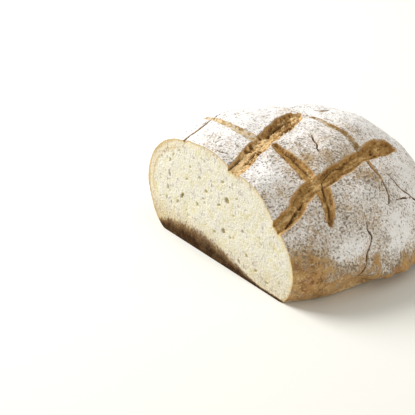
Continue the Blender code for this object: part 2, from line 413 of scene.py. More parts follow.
SLASHES = (
    Mark("left", Kind.SPLIT, 2.0, ((-49, -74, 1.9), (-53, -55, 1.5), (-59, -38, 1.2),
                                   (-64, -26, 0.7), (-67, -12, 0.8), (-66, 8, 1.0),
                                   (-61, 30, 1.1), (-54, 52, 0.5))),
    Mark("middle", Kind.TORN, 4.6, ((19, -74, 8.0), (17, -56, 8.2), (9, -40, 8.2),
                                    (2, -22, 8.8), (-5, -6, 10.0), (-12, 8, 10.4),
                                    (-18, 21, 8.6), (-23, 29, 6.0)), crumble=1.0),
    Mark("right", Kind.TORN, 4.8, ((78, -74, 5.6), (77, -60, 6.2), (76, -48, 7.0),
                                   (71, -38, 6.8), (68, -27, 6.6), (66, -10, 7.0), (62, 6, 6.8),
                                   (58, 22, 6.6), (52, 40, 5.9), (46, 56, 8.4), (40, 71, 9.8),
                                   (36, 83, 7.4)), crumble=0.2),
    Mark("front_left", Kind.DUSTED, 1.4, ((-84, -22, 1.6), (-66, -26, 2.3), (-48, -29, 2.9),
                                          (-28, -30, 3.6), (-6, -28, 4.4)), powder=0.36),
    Mark("front_middle", Kind.TORN, 3.8, ((15, -21, 3.4), (25, -21, 4.6), (35, -21, 5.4),
                                          (46, -20, 6.2), (57, -21, 7.0))),
    Mark("front_right", Kind.TORN, 3.8, ((67, -16, 7.4), (77, -18, 6.6), (84, -20, 5.6),
                                         (90, -23, 4.0), (94, -25, 1.8))),
    Mark("back_left", Kind.DUSTED, 1.2, ((-70, 26, 1.4), (-45, 28, 2.0), (-24, 32, 2.4),
                                         (-14, 34, 2.4)), powder=1.1),
    Mark("back", Kind.DUSTED, 2.2, ((-17, 31, 2.2), (-5, 37, 2.6), (8, 38, 3.0), (20, 40, 3.4),
                                    (28, 42, 3.6), (40, 42, 4.0), (50, 43, 4.0)), powder=0.35),
    Mark("back_crack", Kind.SPLIT, 2.2, ((58, 42, 2.6), (66, 41, 1.9), (74, 42, 1.3),
                                         (80, 42, 0.9), (85, 41, 1.0), (90, 37, 0.5))),
    Mark("far_crack", Kind.SPLIT, 2.0, ((-22, 49, 0.6), (-17, 50, 1.7), (-17, 56, 1.5),
                                        (-18, 61, 0.5))),
    Mark("tile_crack", Kind.SPLIT, 1.6, ((20, 12, 0.5), (26, 9, 0.8), (32, 7.5, 0.85),
                                         (37, 4, 0.8), (41, 4, 0.4))),
    Mark("right_crack", Kind.SPLIT, 1.6, ((69, 51, 0.4), (74, 54, 0.8), (78, 59, 0.9),
                                          (81, 67, 0.9), (82, 78, 0.5))),
    Mark("right_branch", Kind.SPLIT, 1.4, ((87, 48, 0.4), (85, 56, 0.7), (83, 64, 0.7),
                                           (81, 70, 0.4))),
    Mark("front_crack", Kind.SPLIT, 2.6, ((4.0, 57, 0.4), (3.2, 52, 0.6), (4.2, 48, 0.8),
                                          (4.0, 44, 0.6), (1.6, 39, 0.6), (0.2, 35, 1.1),
                                          (-0.4, 31, 1.2), (-1, 27, 0.6), (-2.5, 23, 0.7),
                                          (-6, 18, 0.4)), on_flank=True),
    Mark("cut_nick", Kind.SPLIT, 0.8, ((-9, -60, 0.4), (-5, -60, 0.7), (-1, -57, 0.3))),
)
CREVICES = (
    Mark("right_near", Kind.CREVICE, 2.6, ((80, -60, 0.4), (79, -53, 1.5), (77, -46, 1.9),
                                           (74, -38, 0.5))),
    Mark("right_centre", Kind.CREVICE, 1.2, ((64, -9, 0.5), (60, 1, 1.0), (58, 9, 0.9),
                                             (56, 16, 0.4))),
    Mark("right_pit", Kind.CREVICE, 2.6, ((48, 54, 0.8), (46, 58, 2.0), (44, 62, 0.8))),
    Mark("right_end", Kind.CREVICE, 1.8, ((42, 68, 0.5), (39, 72, 1.1), (37, 77, 0.5))),
    Mark("middle_near", Kind.CREVICE, 2.0, ((12, -66, 0.5), (11, -59, 1.1), (8, -53, 0.6))),
    Mark("middle_side", Kind.CREVICE, 2.0, ((17, -53, 0.5), (13, -44, 1.0), (8, -36, 0.5))),
    Mark("middle_hollow", Kind.CREVICE, 3.0, ((-4, -16, 1.2), (-10, -6, 3.6), (-14, 3, 4.8),
                                              (-17, 11, 4.8), (-19, 19, 2.8))),
    Mark("middle_branch", Kind.CREVICE, 1.6, ((0, -6, 0.8), (-4, 3, 2.2), (-8, 12, 1.8),
                                              (-12, 20, 1.4))),
    Mark("front_middle_rift", Kind.CREVICE, 2.2, ((22, -19, 0.6), (34, -18, 1.3), (46, -18, 1.3),
                                                  (55, -18, 1.4), (62, -17, 0.5))),
    Mark("front_right_rift", Kind.CREVICE, 2.2, ((66, -12, 0.6), (73, -16, 1.3), (81, -18, 1.5),
                                                 (87, -20, 1.2), (92, -24, 0.5))),
)


@dataclass(frozen=True)
class Patch:
    """A soft-edged spot of the crust: its place and radius in millimetres, and its strength."""

    place: Triple
    radius: float
    strength: float

    def share(self, points: Array) -> Array:
        """Strength times a bell curve of the distance from the patch's place."""
        gap = np.linalg.norm(points / MM - np.array(self.place), axis=1)
        return self.strength * bell(gap, self.radius)


def patches(*rows: tuple[float, ...]) -> tuple[Patch, ...]:
    """Patches from rows of x, y, z, radius and strength, in millimetres and shares."""
    return tuple(Patch(row[:3], *row[3:]) for row in rows)


FLOUR_PATCHES = patches(
    (107, -14, 38, 12, 0.5), (102, 40, 38, 14, 0.4), (98, 36, 50, 15, 0.3),
    (104, -34, 34, 8, 0.2), (46, -36, 92, 6, -0.14), (38, -54, 90, 12, 0.34),
    (50, -40, 91, 8, 0.2), (22, -48, 96, 12, 0.2), (50, 8, 95, 8, -0.2), (44, 26, 96, 9, -0.2),
    (38, 39, 97, 7, -0.12), (42, -9, 98, 8, -0.26), (86, -14, 74, 9, -0.14),
    (72, 33, 80, 8, -0.14), (86, 44, 62, 8, -0.04), (21, 53, 99, 12, -0.3),
    (-24, 40, 99, 9, -0.14), (80, 66, 60, 15, 0.4), (-26, 20, 104, 9, -0.26),
    (69, 29, 83, 8, -0.16), (43, -11, 97, 8, -0.14), (106, 31, 31, 8, 0.3), (110, -2, 29, 8, 0.2),
    (110, 11, 27, 8, 0.16), (108, -30, 24, 8, 0.25), (89, 29, 65, 9, 0.16),
    (36, 82, 82, 12, -0.2), (23, 15, 102, 12, -0.1), (-29, -51, 99, 14, -0.1),
    (82, 12, 76, 12, 0.12),
)
BAKED_PATCHES = patches(
    (109, 27, 14, 6, 0.8), (105, 40, 26, 4, 0.5), (110, 10, 12, 5, 0.4), (103, -47, 19, 10, 0.55),
    (97, -60, 30, 7, 0.4), (102, 50, 20, 6, 0.4), (60, 95, 12, 14, 0.4), (-95, 20, 14, 16, 0.4),
    (-40, 108, 12, 14, 0.35),
)
# Patches of the torn floors' tone: partly their own colour, partly painted shade, such as the dark
# patches over the middle slash's deep hollow.
TORN_TONE_AND_SHADE_PATCHES = patches(
    (-12, 3, 94, 12, -0.45), (-18, 15, 94, 9, -0.4), (-4, 18, 94, 5, 0.1), (2, -26, 94, 10, 0.32),
    (22, -58, 88, 10, 0.26), (11, -60, 88, 14, 0.56), (60, 8, 86, 12, -0.08),
    (74, -45, 78, 14, 0.12), (54, 41, 88, 8, 0.4), (61, -17, 89, 6, 0.35), (46, 58, 86, 5, -0.3),
    (30, -23, 92, 9, -0.24), (-30, -29, 98, 18, 0.1), (-64, -26, 88, 20, 0.16),
    (22, 41, 96, 12, -0.3), (38, 43, 92, 10, -0.3),
)


@dataclass(frozen=True)
class Dusting:
    """Where flour lies on the crust. Its places are in millimetres, its thickness in shares.

    The flour ends low on the flank at a floor line, which dips to the right. Over it the flour
    thickens to the left and the back, and a little dust lies below it.
    """

    floor_line: float = 45
    front_dip: float = 12
    front_ramp: Ramp = Ramp(-50, -12)
    back_dip: float = 13
    back_ramp: Ramp = Ramp(5, 35)
    right_ramp: Ramp = Ramp(60, 100)
    border: Ramp = Ramp(-12, 13)
    border_noise: Noise = Noise(6, 24 * MM, 3, 11, 0.65)
    least: float = 0.55
    left_more: float = 0.40
    left_ramp: Ramp = Ramp(60, -45)
    left_slant: float = 0.3
    back_more: float = 0.14
    far_ramp: Ramp = Ramp(30, 80)
    drift: Noise = Noise(0.16, 17 * MM, 2, 12)
    edge_loss: float = 0.1
    edge_width: float = 1.7
    low_share: float = 0.42
    low_ramp: Ramp = Ramp(0.0, 0.8)
    low_noise: Noise = Noise(1.0, 15 * MM, 3, 13, 0.6)
    low_front: float = 0.35
    low_side_ramp: Ramp = Ramp(-30, 20)
    low_heap: float = 0.36
    most: float = 1.2

    def at(self, points: Array, edge: Array) -> Array:
        """How thick the flour lies: most on top and to the left, ragged at its lower edge.

        Args:
            points: n by 3 places on the form, in metres.
            edge: distances from the slashes, in millimetres.

        Returns:
            One share for each place.
        """
        x, y, z = points.T / MM
        ragged = self.border_noise.at(points)
        dip = self.front_dip * self.front_ramp.rise(y) + self.back_dip * self.back_ramp.rise(y)
        floor_line = self.floor_line - dip * self.right_ramp.rise(x)
        cover = self.border.rise(z + ragged - floor_line)
        left = self.left_ramp.rise(x - self.left_slant * y)
        share = self.least + self.left_more * left + self.back_more * self.far_ramp.rise(y)
        heaped = sum(patch.share(points) for patch in FLOUR_PATCHES)
        share = share + heaped + self.drift.at(points)
        loss = self.edge_loss * bell(np.maximum(edge, 0.0), self.edge_width)
        share = np.minimum(share - loss, 1.0)
        low = self.low_share * self.low_ramp.rise(self.low_noise.at(points))
        low = low * (self.low_front + (1 - self.low_front) * self.low_side_ramp.rise(y))
        low = low + self.low_heap * np.maximum(heaped, 0)
        return np.clip(cover * share + (1 - cover) * low, 0.0, self.most)


@dataclass(frozen=True)
class Carving:
    """Arrays over all points of the crust that the marks fill in, one mark after another.

    Groove, dip and deep are depths in metres, and closest is the distance to the nearest slash
    over its half width. The others are fields for the finish.
    """

    values: dict[str, Array]

    def at_least(self, name: str, near: Array, values: Array) -> None:
        """Raises an array to the values, at the points near a mark, where they are larger.

        Args:
            name: the array's name.
            near: the points' numbers.
            values: one value for each of them.
        """
        held = self.values[name]
        held[near] = np.maximum(held[near], values)

    def at_most(self, name: str, near: Array, values: Array) -> None:
        """Lowers an array to the values, at the points near a mark, where they are smaller.

        Args:
            name: the array's name.
            near: the points' numbers.
            values: one value for each of them.
        """
        held = self.values[name]
        held[near] = np.minimum(held[near], values)

    def choose(self, name: str, near: Array, values: Any, where: Array) -> None:
        """Sets an array to the values, at the points near a mark, where a test holds.

        Args:
            name: the array's name.
            near: the points' numbers.
            values: one value for each of them, or one for all.
            where: the test's outcome for each of them.
        """
        held = self.values[name]
        held[near] = np.where(where, values, held[near])


@dataclass(frozen=True)
class CrustRelief:
    """What stands out of the form or is pressed into it, and where flour lies on it."""

    form: LoafForm
    dusting: Dusting = Dusting()
    finish_fields: tuple[str, ...] = ("edge", "split", "dusted", "torn", "strand", "rift_shade",
                                      "loose", "powder", "core")
    edge_limit: float = 12.0
    # the dough round the marks
    pillow_sink: float = 2.8 * MM
    pillow_reach: float = 13 * MM
    pillow_depth: float = 3.6 * MM
    search_share: float = 2.2
    swell: float = 0.9 * MM
    fine: Noise = Noise(0.16 * MM, 2.2 * MM, 2, 21)
    bumps: Noise = Noise(0.42 * MM, 10 * MM, 2, 22)
    humps: Noise = Noise(0.55 * MM, 24 * MM, 1, 23)
    foot_fade: float = 7 * MM
    sole_share: float = 0.7
    sole_ramp: Ramp = Ramp(2.4 * MM, 4.6 * MM)
    # the fold low on the flank and the dent beside it, their bearings in degrees
    seam_swell: float = 3.2 * MM
    seam_height: float = 11 * MM
    seam_width: float = 5 * MM
    seam_bearing: float = 16.0
    seam_span: float = 22.0
    seam_noise: Noise = Noise(0.5, 9 * MM, 2, 24)
    dent_depth: float = 7.5 * MM
    dent_bearing: float = -4.0
    dent_span: float = 9.0
    # wrinkles
    crease_depth: float = 0.22 * MM
    crease_noise: Noise = Noise(1.0, 8 * MM, 3, 61, 0.6)
    crease_width: Ramp = Ramp(0.0, 0.16)
    crease_places: Noise = Noise(1.0, 24 * MM, 1, 62)
    crease_cover: Ramp = Ramp(0.0, 0.5)
    crease_gap: Ramp = Ramp(1.0, 4.0)
    # what breaks up the marks' edges and floors
    wander_seeds: tuple[int, ...] = (51, 53, 55)
    wander_far: float = 0.9 * MM
    wander_cell: float = 9 * MM
    wander_near: float = 0.32 * MM
    wander_fine_cell: float = 2.6 * MM
    grit: Noise = Noise(1.0, 3.4 * MM, 3, 6, 0.6)
    flakes: Noise = Noise(1.0, 4.2 * MM, 1, 8)
    flake_height: float = 0.6
    flake_share: float = 0.3
    flake_ramp: Ramp = Ramp(-15 * MM, -35 * MM)
    # crevices and cracks
    crevice_width: Ramp = Ramp(0.2, 1.5)
    crevice_ragged: float = 0.7
    crevice_waver: float = 0.35
    crack_width: Ramp = Ramp(0.1, 1.3)
    crack_ragged: float = 0.2
    crack_waver: float = 0.12
    crack_least: float = 0.7
    crack_sink: float = 0.5
    crack_reach: float = 4 * MM
    # slashes
    wall_width: float = 2.3 * MM
    wall_limit: float = 0.5
    lip_share: float = 1.04
    lip_waver: float = 0.18 * MM
    inner_width: Ramp = Ramp(0.86, 1.02)
    dusted_width: Ramp = Ramp(0.8, 1.2)
    dusted_rough: float = 0.5
    floor_bulge: float = 0.3
    strand_height: float = 0.5 * MM
    strand_stretch: float = 5.5
    strand_apart: float = 40 * MM
    strand_noise: Noise = Noise(1.0, 3.0 * MM, 2, 71, 0.6)
    crumb_height: float = 0.8 * MM
    crumble_loss: float = 0.5
    grit_least: float = 0.25
    grit_more: float = 0.6
    # painted shade: the far side of each slash darker
    far_side_shade: float = 0.12
    tone_middle: float = 0.5
    tone_share: float = 0.36
    tone_drift: Noise = Noise(0.16, 13 * MM, 1, 25)
    torn_border: Ramp = Ramp(-0.6, 0.2)

    def slow_swell(self, points: Array) -> Array:
        """Slow swells of the dough: two products of crossed waves, not in step with each other.

        Args:
            points: n by 3 places on the form.

        Returns:
            How far each place moves out.
        """
        x, y, z = (points / self.form.radius).T
        waves = np.sin(5.1 * x + 2.3 * y + 1.0) * np.cos(4.3 * y - 3.1 * z)
        waves = waves + 0.6 * np.sin(9.7 * y + 4.9 * x - 6.1 * z) * np.cos(8.3 * x + 0.4)
        return self.swell * waves

    def seam_fold(self, points: Array) -> Array:
        """The fold low on the flank and the dent beside it, bell curves round the loaf.

        Args:
            points: n by 3 places on the form.

        Returns:
            How far each place moves out.
        """
        bearing = np.degrees(np.arctan2(points[:, 1], points[:, 0]))
        round_share = bell(bearing - self.seam_bearing, self.seam_span)
        level_share = bell(points[:, 2] - self.seam_height, self.seam_width)
        torn = 1 + self.seam_noise.at(points)
        fold = self.seam_swell * round_share * level_share * torn
        round_share = bell(bearing - self.dent_bearing, self.dent_span)
        level_share = Ramp(self.seam_height, 2 * self.seam_height).fall(points[:, 2])
        return fold - self.dent_depth * round_share * level_share

    def wander(self, points: Array) -> Array:
        """Points moved a little by noise, so that what is measured from them has wavy edges.

        Args:
            points: n by 3 places.

        Returns:
            The moved places.
        """
        shifts = [self.wander_far * lattice_noise(points, self.wander_cell, seed)
                  + self.wander_near * lattice_noise(points, self.wander_fine_cell, seed + 1)
                  for seed in self.wander_seeds]
        return points + np.stack(shifts, axis=1)

    def creases(self, points: Array) -> Array:
        """Fine wrinkles: a line wherever a noise crosses zero, kept only in some places."""
        line = self.crease_width.fall(np.abs(self.crease_noise.at(points)))
        return line * self.crease_cover.rise(self.crease_places.at(points))

    def blank(self, count: int) -> Carving:
        """A crust with no mark in it.

        Args:
            count: how many points it has.

        Returns:
            Its arrays, as they are far from any mark.
        """
        values = {name: np.zeros(count) for name in
                  ("groove", "dip", "deep", "rift_shade", "dusted", "torn", "loose", "powder")}
        values |= {name: np.full(count, self.edge_limit) for name in ("edge", "split", "core")}
        values["strand"] = np.full(count, self.tone_middle)
        values["closest"] = np.full(count, np.inf)
        return Carving(values)

    def carve_crevice(self, carving: Carving, mark: Mark, near: Array, trail: Trail,
                      grit: Array) -> None:
        """A deep rift with a ragged border, which goes down from the floor of its slash.

        Args:
            carving: the arrays that are filled in.
            mark: the crevice.
            near: the numbers of the points near it.
            trail: how they lie to it.
            grit: a rough noise at them.
        """
        ragged = trail.relative + self.crevice_ragged * np.abs(grit) + self.crevice_waver * grit
        share = self.crevice_width.fall(ragged)
        carving.at_least("deep", near, mark.depth * MM * share)
        # the crevice's share, which its painted shade reads
        carving.at_least("rift_shade", near, share)

    def carve_split(self, carving: Carving, mark: Mark, near: Array, trail: Trail,
                    grit: Array) -> None:
        """A crack: a narrow cut, and beside it the crust dips as a bell curve.

        Args:
            carving: the arrays that are filled in.
            mark: the crack.
            near: the numbers of the points near it.
            trail: how they lie to it.
            grit: a rough noise at them.
        """
        depth = mark.depth * MM
        cut = depth * self.crack_width.fall(trail.relative + self.crack_ragged * np.abs(grit))
        carving.at_least("deep", near, cut)
        gap = trail.beside / MM + self.crack_waver * np.abs(grit)
        carving.at_most("split", near, gap)
        centre = trail.relative * trail.half / MM
        centre = centre + np.maximum(self.crack_least - trail.half / MM, 0.0)
        carving.at_most("core", near, centre)
        sink = self.crack_sink * depth * bell(np.maximum(trail.beside, 0.0), self.crack_reach)
        carving.at_least("dip", near, sink)

    def carve_slash(self, carving: Carving, mark: Mark, near: Array, trail: Trail,
                    grit: Array, flakes: Array, number: int) -> None:
        """A slash: steep walls, a bulged floor, and crust that dips towards it.

        The depth falls from the floor to nothing as a soft step of the distance from the middle
        line over the half width. A torn floor is rough with strands, a noise drawn out along the
        slash, and with crumbs. Its tone follows the same noises, so it is darker where the floor
        lies lower, which is painted shade, and darker on the far side, painted shade too.
        slash, and with crumbs.

        Args:
            carving: the arrays that are filled in.
            mark: the slash.
            near: the numbers of the points near it.
            trail: how they lie to it.
            grit: a rough noise at them.
            flakes: a noise of flat flakes at them.
            number: the slash's place in the list, which sets its strands apart from others.
        """
        depth = mark.depth * MM
        relative = trail.relative + self.lip_waver * grit / trail.half
        wall = np.minimum(self.wall_width / trail.half, self.wall_limit)
        cut = depth * (1 - smooth_step(1 - wall, self.lip_share, relative))
        sink = self.pillow_sink * min(depth / self.pillow_depth, 1.0)
        sink = sink * bell(np.maximum(trail.beside, 0.0), self.pillow_reach)
        inner = self.inner_width.fall(trail.relative)
        course = np.stack([trail.along / self.strand_stretch, trail.across,
                           np.full(len(near), self.strand_apart * number)], axis=1)
        strands = self.strand_noise.at(course)
        mixed = strands * (1 - self.crumble_loss * mark.crumble)
        mixed = mixed + grit * (self.grit_least + self.grit_more * mark.crumble)
        # painted shade on the far side of the slash
        mixed = mixed - self.far_side_shade * np.clip(trail.across / trail.half, -1.0, 1.0)
        # rough and tone share the strands and grit, so the floor's low places come out darker:
        # painted shade
        rough = self.strand_height * strands + self.crumb_height * mark.crumble * grit
        bulge = self.floor_bulge * depth * (1 - np.minimum(trail.relative, 1.0) ** 2)
        nearer = trail.relative < carving.values["closest"][near]
        if mark.kind is Kind.TORN:
            cut = cut - inner * (rough + bulge)
            carving.at_least("torn", near, inner)
            carving.at_least("loose", near, inner * mark.crumble)
        else:
            cut = cut - self.dusted_rough * inner * rough
            carving.at_least("dusted", near, self.dusted_width.fall(trail.relative))
            carving.choose("powder", near, mark.powder, nearer)
        flaky = mark.crumble * self.flake_share * flakes
        tone = self.tone_middle + self.tone_share * mixed + flaky
        carving.choose("strand", near, tone, nearer)
        carving.at_most("closest", near, trail.relative)
        carving.at_most("edge", near, trail.beside / MM)
        carving.at_least("groove", near, cut)
        carving.at_least("dip", near, sink)

    def carve(self, points: Array, normals: Array) -> tuple[Array, dict[str, Array]]:
        """Depth of all the marks at each point, and the fields that the finish reads.

        Args:
            points: n by 3 places on the form.
            normals: the form's outward normals there.

        Returns:
            The depth, and a field for each thing that the finish reads.
        """
        carving = self.blank(len(points))
        wavy = self.wander(points)
        grit = self.grit.at(points)
        flakes = np.sign(self.flakes.at(points)) * self.flake_height + grit
        flakes = flakes * self.flake_ramp.rise(points[:, 1])
        reach = self.search_share * self.pillow_reach
        for number, mark in enumerate((*SLASHES, *CREVICES)):
            near, trail = mark.follow(self.form, wavy, normals, reach)
            if mark.kind is Kind.CREVICE:
                self.carve_crevice(carving, mark, near, trail, grit[near])
            elif mark.kind is Kind.SPLIT:
                self.carve_split(carving, mark, near, trail, grit[near])
            else:
                self.carve_slash(carving, mark, near, trail, grit[near], flakes[near], number)
        values = carving.values
        values["torn"] = values["torn"] * self.torn_border.fall(values["edge"])
        tone = values["strand"] + self.tone_drift.at(points)
        # tone patches, partly painted shade in the hollows
        tone = tone + sum(patch.share(points) for patch in TORN_TONE_AND_SHADE_PATCHES)
        values["strand"] = np.clip(tone, 0.0, 1.0)
        depth = values["groove"] + values["dip"] + values["deep"]
        return depth, {name: values[name] for name in self.finish_fields}

    def apply(self, points: Array, normals: Array,
              cut_lock: float) -> tuple[Array, dict[str, Array]]:
        """Moves points of the form along their normals by the whole relief.

        Near the cut the move keeps to the knife's plane, so that the edge stays flat.

        Args:
            points: n by 3 places on the form.
            normals: the form's outward normals there.
            cut_lock: how far from the cut the moves bend into its plane.

        Returns:
            The moved places and the fields for the finish.
        """
        depth, fields = self.carve(points, normals)
        crease = self.creases(points) * self.crease_gap.rise(fields["edge"])
        broad = self.bumps.at(points) + self.humps.at(points)
        relief = self.slow_swell(points) + self.seam_fold(points) - depth
        relief = relief + self.fine.at(points) + broad - self.crease_depth * crease
        relief = relief * smooth_step(0.0, self.foot_fade, points[:, 2])
        gap = points[:, 1] + self.form.cut_distance
        free = smooth_step(0.0, cut_lock, gap)
        level = normals * np.stack([np.ones(len(free)), free, np.ones(len(free))], axis=1)
        moved = points + unit(level) * relief[:, None]
        moved[:, 2] = np.maximum(moved[:, 2], 0.0)
        fields["flour"] = self.dusting.at(points, fields["edge"])
        fields["sole"] = self.sole_share * self.sole_ramp.fall(points[:, 2])
        fields["crease"] = crease
        fields["baked"] = np.clip(sum(patch.share(points) for patch in BAKED_PATCHES), 0.0, 1.0)
        return moved, fields


@dataclass(frozen=True)
class Grid:
    """A surface as rows by columns of places, with one value of each field at every place."""

    places: Array
    fields: dict[str, Array]

    def normals(self) -> Array:
        """Outward unit normals: the cross product of the steps along and across the grid.

        Returns:
            Rows by columns of unit vectors.
        """
        along = np.gradient(self.places, axis=1)
        across = np.gradient(self.places, axis=0)
        return unit(np.cross(along, across))

    def columns(self, run: Any) -> "Grid":
        """The same surface with some of its columns, in the order given."""
        fields = {name: values[:, run] for name, values in self.fields.items()}
        return Grid(self.places[:, run], fields)


def grid_object(name: str, grid: Grid, shift: Array, normals: Array | None = None,
                pole: bool = False) -> bpy.types.Object:
    """A mesh object from a grid: one square for each cell, its fields as attributes.

    Args:
        name: the piece's name.
        grid: places and fields.
        shift: added to every place to bring the loaf's middle to the frame's origin.
        normals: smooth normals to set, so that neighbouring pieces shade as one.
        pole: whether the first row is a single place, and its cells are triangles.

    Returns:
        The new object, linked to the scene.
    """
    rows, columns, _ = grid.places.shape
    kept = np.arange(rows * columns)
    index = kept.reshape(rows, columns)
    tips = np.zeros((0, 3), dtype=int)
    if pole:
        index = np.maximum(index - columns + 1, 0)
        kept = kept[columns - 1:]
        tips = np.stack([index[0, 1:], index[1, 1:], index[1, :-1]], axis=-1)
        index = index[1:]
    quads = np.stack([index[:-1, :-1], index[:-1, 1:], index[1:, 1:], index[1:, :-1]], axis=-1)
    quads = quads.reshape(-1, 4)
    corners = np.concatenate([tips.ravel(), quads.ravel()])
    starts = np.concatenate([np.arange(len(tips)) * 3, tips.size + np.arange(len(quads)) * 4])
    mesh = bpy.data.meshes.new(name)
    mesh.vertices.add(len(kept))
    places = (grid.places + shift).reshape(-1, 3)[kept]
    mesh.vertices.foreach_set("co", places.astype(np.float32).ravel())
    mesh.loops.add(len(corners))
    mesh.loops.foreach_set("vertex_index", corners.astype(np.int32))
    mesh.polygons.add(len(starts))
    mesh.polygons.foreach_set("loop_start", starts.astype(np.int32))
    mesh.update(calc_edges=True)
    for field_name, values in grid.fields.items():
        attribute = mesh.attributes.new(field_name, "FLOAT", "POINT")
        attribute.data.foreach_set("value", values.ravel()[kept].astype(np.float32))
    mesh.shade_smooth()
    if normals is not None:
        mesh.normals_split_custom_set_from_vertices(normals.reshape(-1, 3)[kept].tolist())
    item = bpy.data.objects.new(name, mesh)
    bpy.context.scene.collection.objects.link(item)
    return item


@dataclass(frozen=True)
class Band:
    """A soft ramp of a shader: 0 below low, and its share above high."""

    low: float
    high: float
    share: float = 1.0


class Value:
    """A shader socket on which Python's operators add Math nodes."""

    def __init__(self, shader: "Shader", socket: bpy.types.NodeSocket) -> None:
        """Wraps one output socket of a shader's tree."""
        self.shader = shader
        self.socket = socket

    def _math(self, operation: str, *values: Any) -> "Value":
        """A Math node on two values or numbers."""
        return self.shader.node("ShaderNodeMath", {"operation": operation}, dict(enumerate(values)))

    def __add__(self, other: Any) -> "Value":
        """Sum."""
        return self._math("ADD", self, other)

    __radd__ = __add__

    def __sub__(self, other: Any) -> "Value":
        """Difference."""
        return self._math("SUBTRACT", self, other)

    def __rsub__(self, other: Any) -> "Value":
        """Difference from a plain number."""
        return self._math("SUBTRACT", other, self)

    def __mul__(self, other: Any) -> "Value":
        """Product."""
        return self._math("MULTIPLY", self, other)

    __rmul__ = __mul__

    def most(self, other: Any) -> "Value":
        """The larger of two values."""
        return self._math("MAXIMUM", self, other)

    def swing(self, height: float) -> "Value":
        """A noise of 0 to 1 moved to swing about zero, height from end to end."""
        return (self - 0.5) * height

    def rise(self, band: Band) -> "Value":
        """The height of a band's ramp at this value.

        Args:
            band: the ramp's ends and its share.

        Returns:
            A value from 0 to the share.
        """
        settings = {"interpolation_type": "SMOOTHSTEP"}
        inputs = {"Value": self, "From Min": band.low, "From Max": band.high}
        ramp = self.shader.node("ShaderNodeMapRange", settings, inputs)
        return ramp if band.share == 1.0 else ramp * band.share


class Shader:
    """A material's node tree with a principled surface."""

    noise_scale: float = 0.6
    noise_roughness: float = 0.55
    noise_gain: float = 2.6

    def __init__(self, name: str, roughness: float, specular: float) -> None:
        """Makes the material and its surface, with its constant sockets set.

        Args:
            name: the material's name.
            roughness: how matte it is, from 0 to 1.
            specular: its specular level.
        """
        self.material = bpy.data.materials.new(name)
        self.material.use_nodes = True
        self.tree = self.material.node_tree
        self.surface = self.tree.nodes["Principled BSDF"]
        self.surface.inputs["Roughness"].default_value = roughness
        self.surface.inputs["Specular IOR Level"].default_value = specular
        self.coordinates = self.node("ShaderNodeTexCoord", {}, {}, "Object")

    def node(self, kind: str, settings: dict[str, Any], inputs: dict[Any, Any],
             output: Any = 0) -> Value:
        """Adds a node: first its settings, then its sockets' values or links.

        Args:
            kind: the node's type.
            settings: the node's own properties.
            inputs: socket names or numbers, with plain values or Values.
            output: the name or number of the socket to return.

        Returns:
            The chosen output.
        """
        made = self.tree.nodes.new(kind)
        for name, value in settings.items():
            setattr(made, name, value)
        for key, value in inputs.items():
            if isinstance(value, Value):
                self.tree.links.new(value.socket, made.inputs[key])
            else:
                made.inputs[key].default_value = value
        return Value(self, made.outputs[output])

    def attribute(self, name: str) -> Value:
        """A field of the mesh."""
        return self.node("ShaderNodeAttribute", {"attribute_name": name}, {}, "Fac")

    def noise(self, grain: float, detail: float) -> Value:
        """Noise whose blobs are about grain metres across, spread to about 0 to 1.

        Args:
            grain: the blobs' size.
            detail: how many finer noises are added.

        Returns:
            The noise's value.
        """
        inputs = {"Vector": self.coordinates, "Scale": self.noise_scale / grain,
                  "Detail": detail, "Roughness": self.noise_roughness}
        raw = self.node("ShaderNodeTexNoise", {}, inputs, "Fac")
        return raw.swing(self.noise_gain) + 0.5

    def mix(self, first: Any, second: Any, factor: Any) -> Value:
        """Blends two colours.

        Args:
            first: the colour at factor 0.
            second: the colour at factor 1.
            factor: the second's share, held between 0 and 1.

        Returns:
            The blend.
        """
        settings = {"data_type": "RGBA", "clamp_factor": True}
        return self.node("ShaderNodeMix", settings, {0: factor, 6: first, 7: second}, 2)

    def set_color(self, color: Value) -> None:
        """Links the surface's colour."""
        self.tree.links.new(color.socket, self.surface.inputs["Base Color"])

    def set_bump(self, height: Value, depth: float) -> None:
        """Links a bump to the surface's normal.

        Args:
            height: the bump's height, in shares of its depth.
            depth: how high a bump of height 1 stands, in metres.
        """
        inputs = {"Height": height, "Distance": depth, "Strength": 1.0}
        bump = self.node("ShaderNodeBump", {}, inputs)
        self.tree.links.new(bump.socket, self.surface.inputs["Normal"])


@dataclass(frozen=True)
class Grains:
    """Noises of several sizes that all layers of the crust's finish share."""

    speck: Value
    salt: Value
    fleck: Value
    patch: Value
    cloud: Value

    def ragged(self) -> Value:
        """How far, in millimetres, the border of a colour wanders."""
        return self.fleck.swing(0.8) + self.speck.swing(0.5)


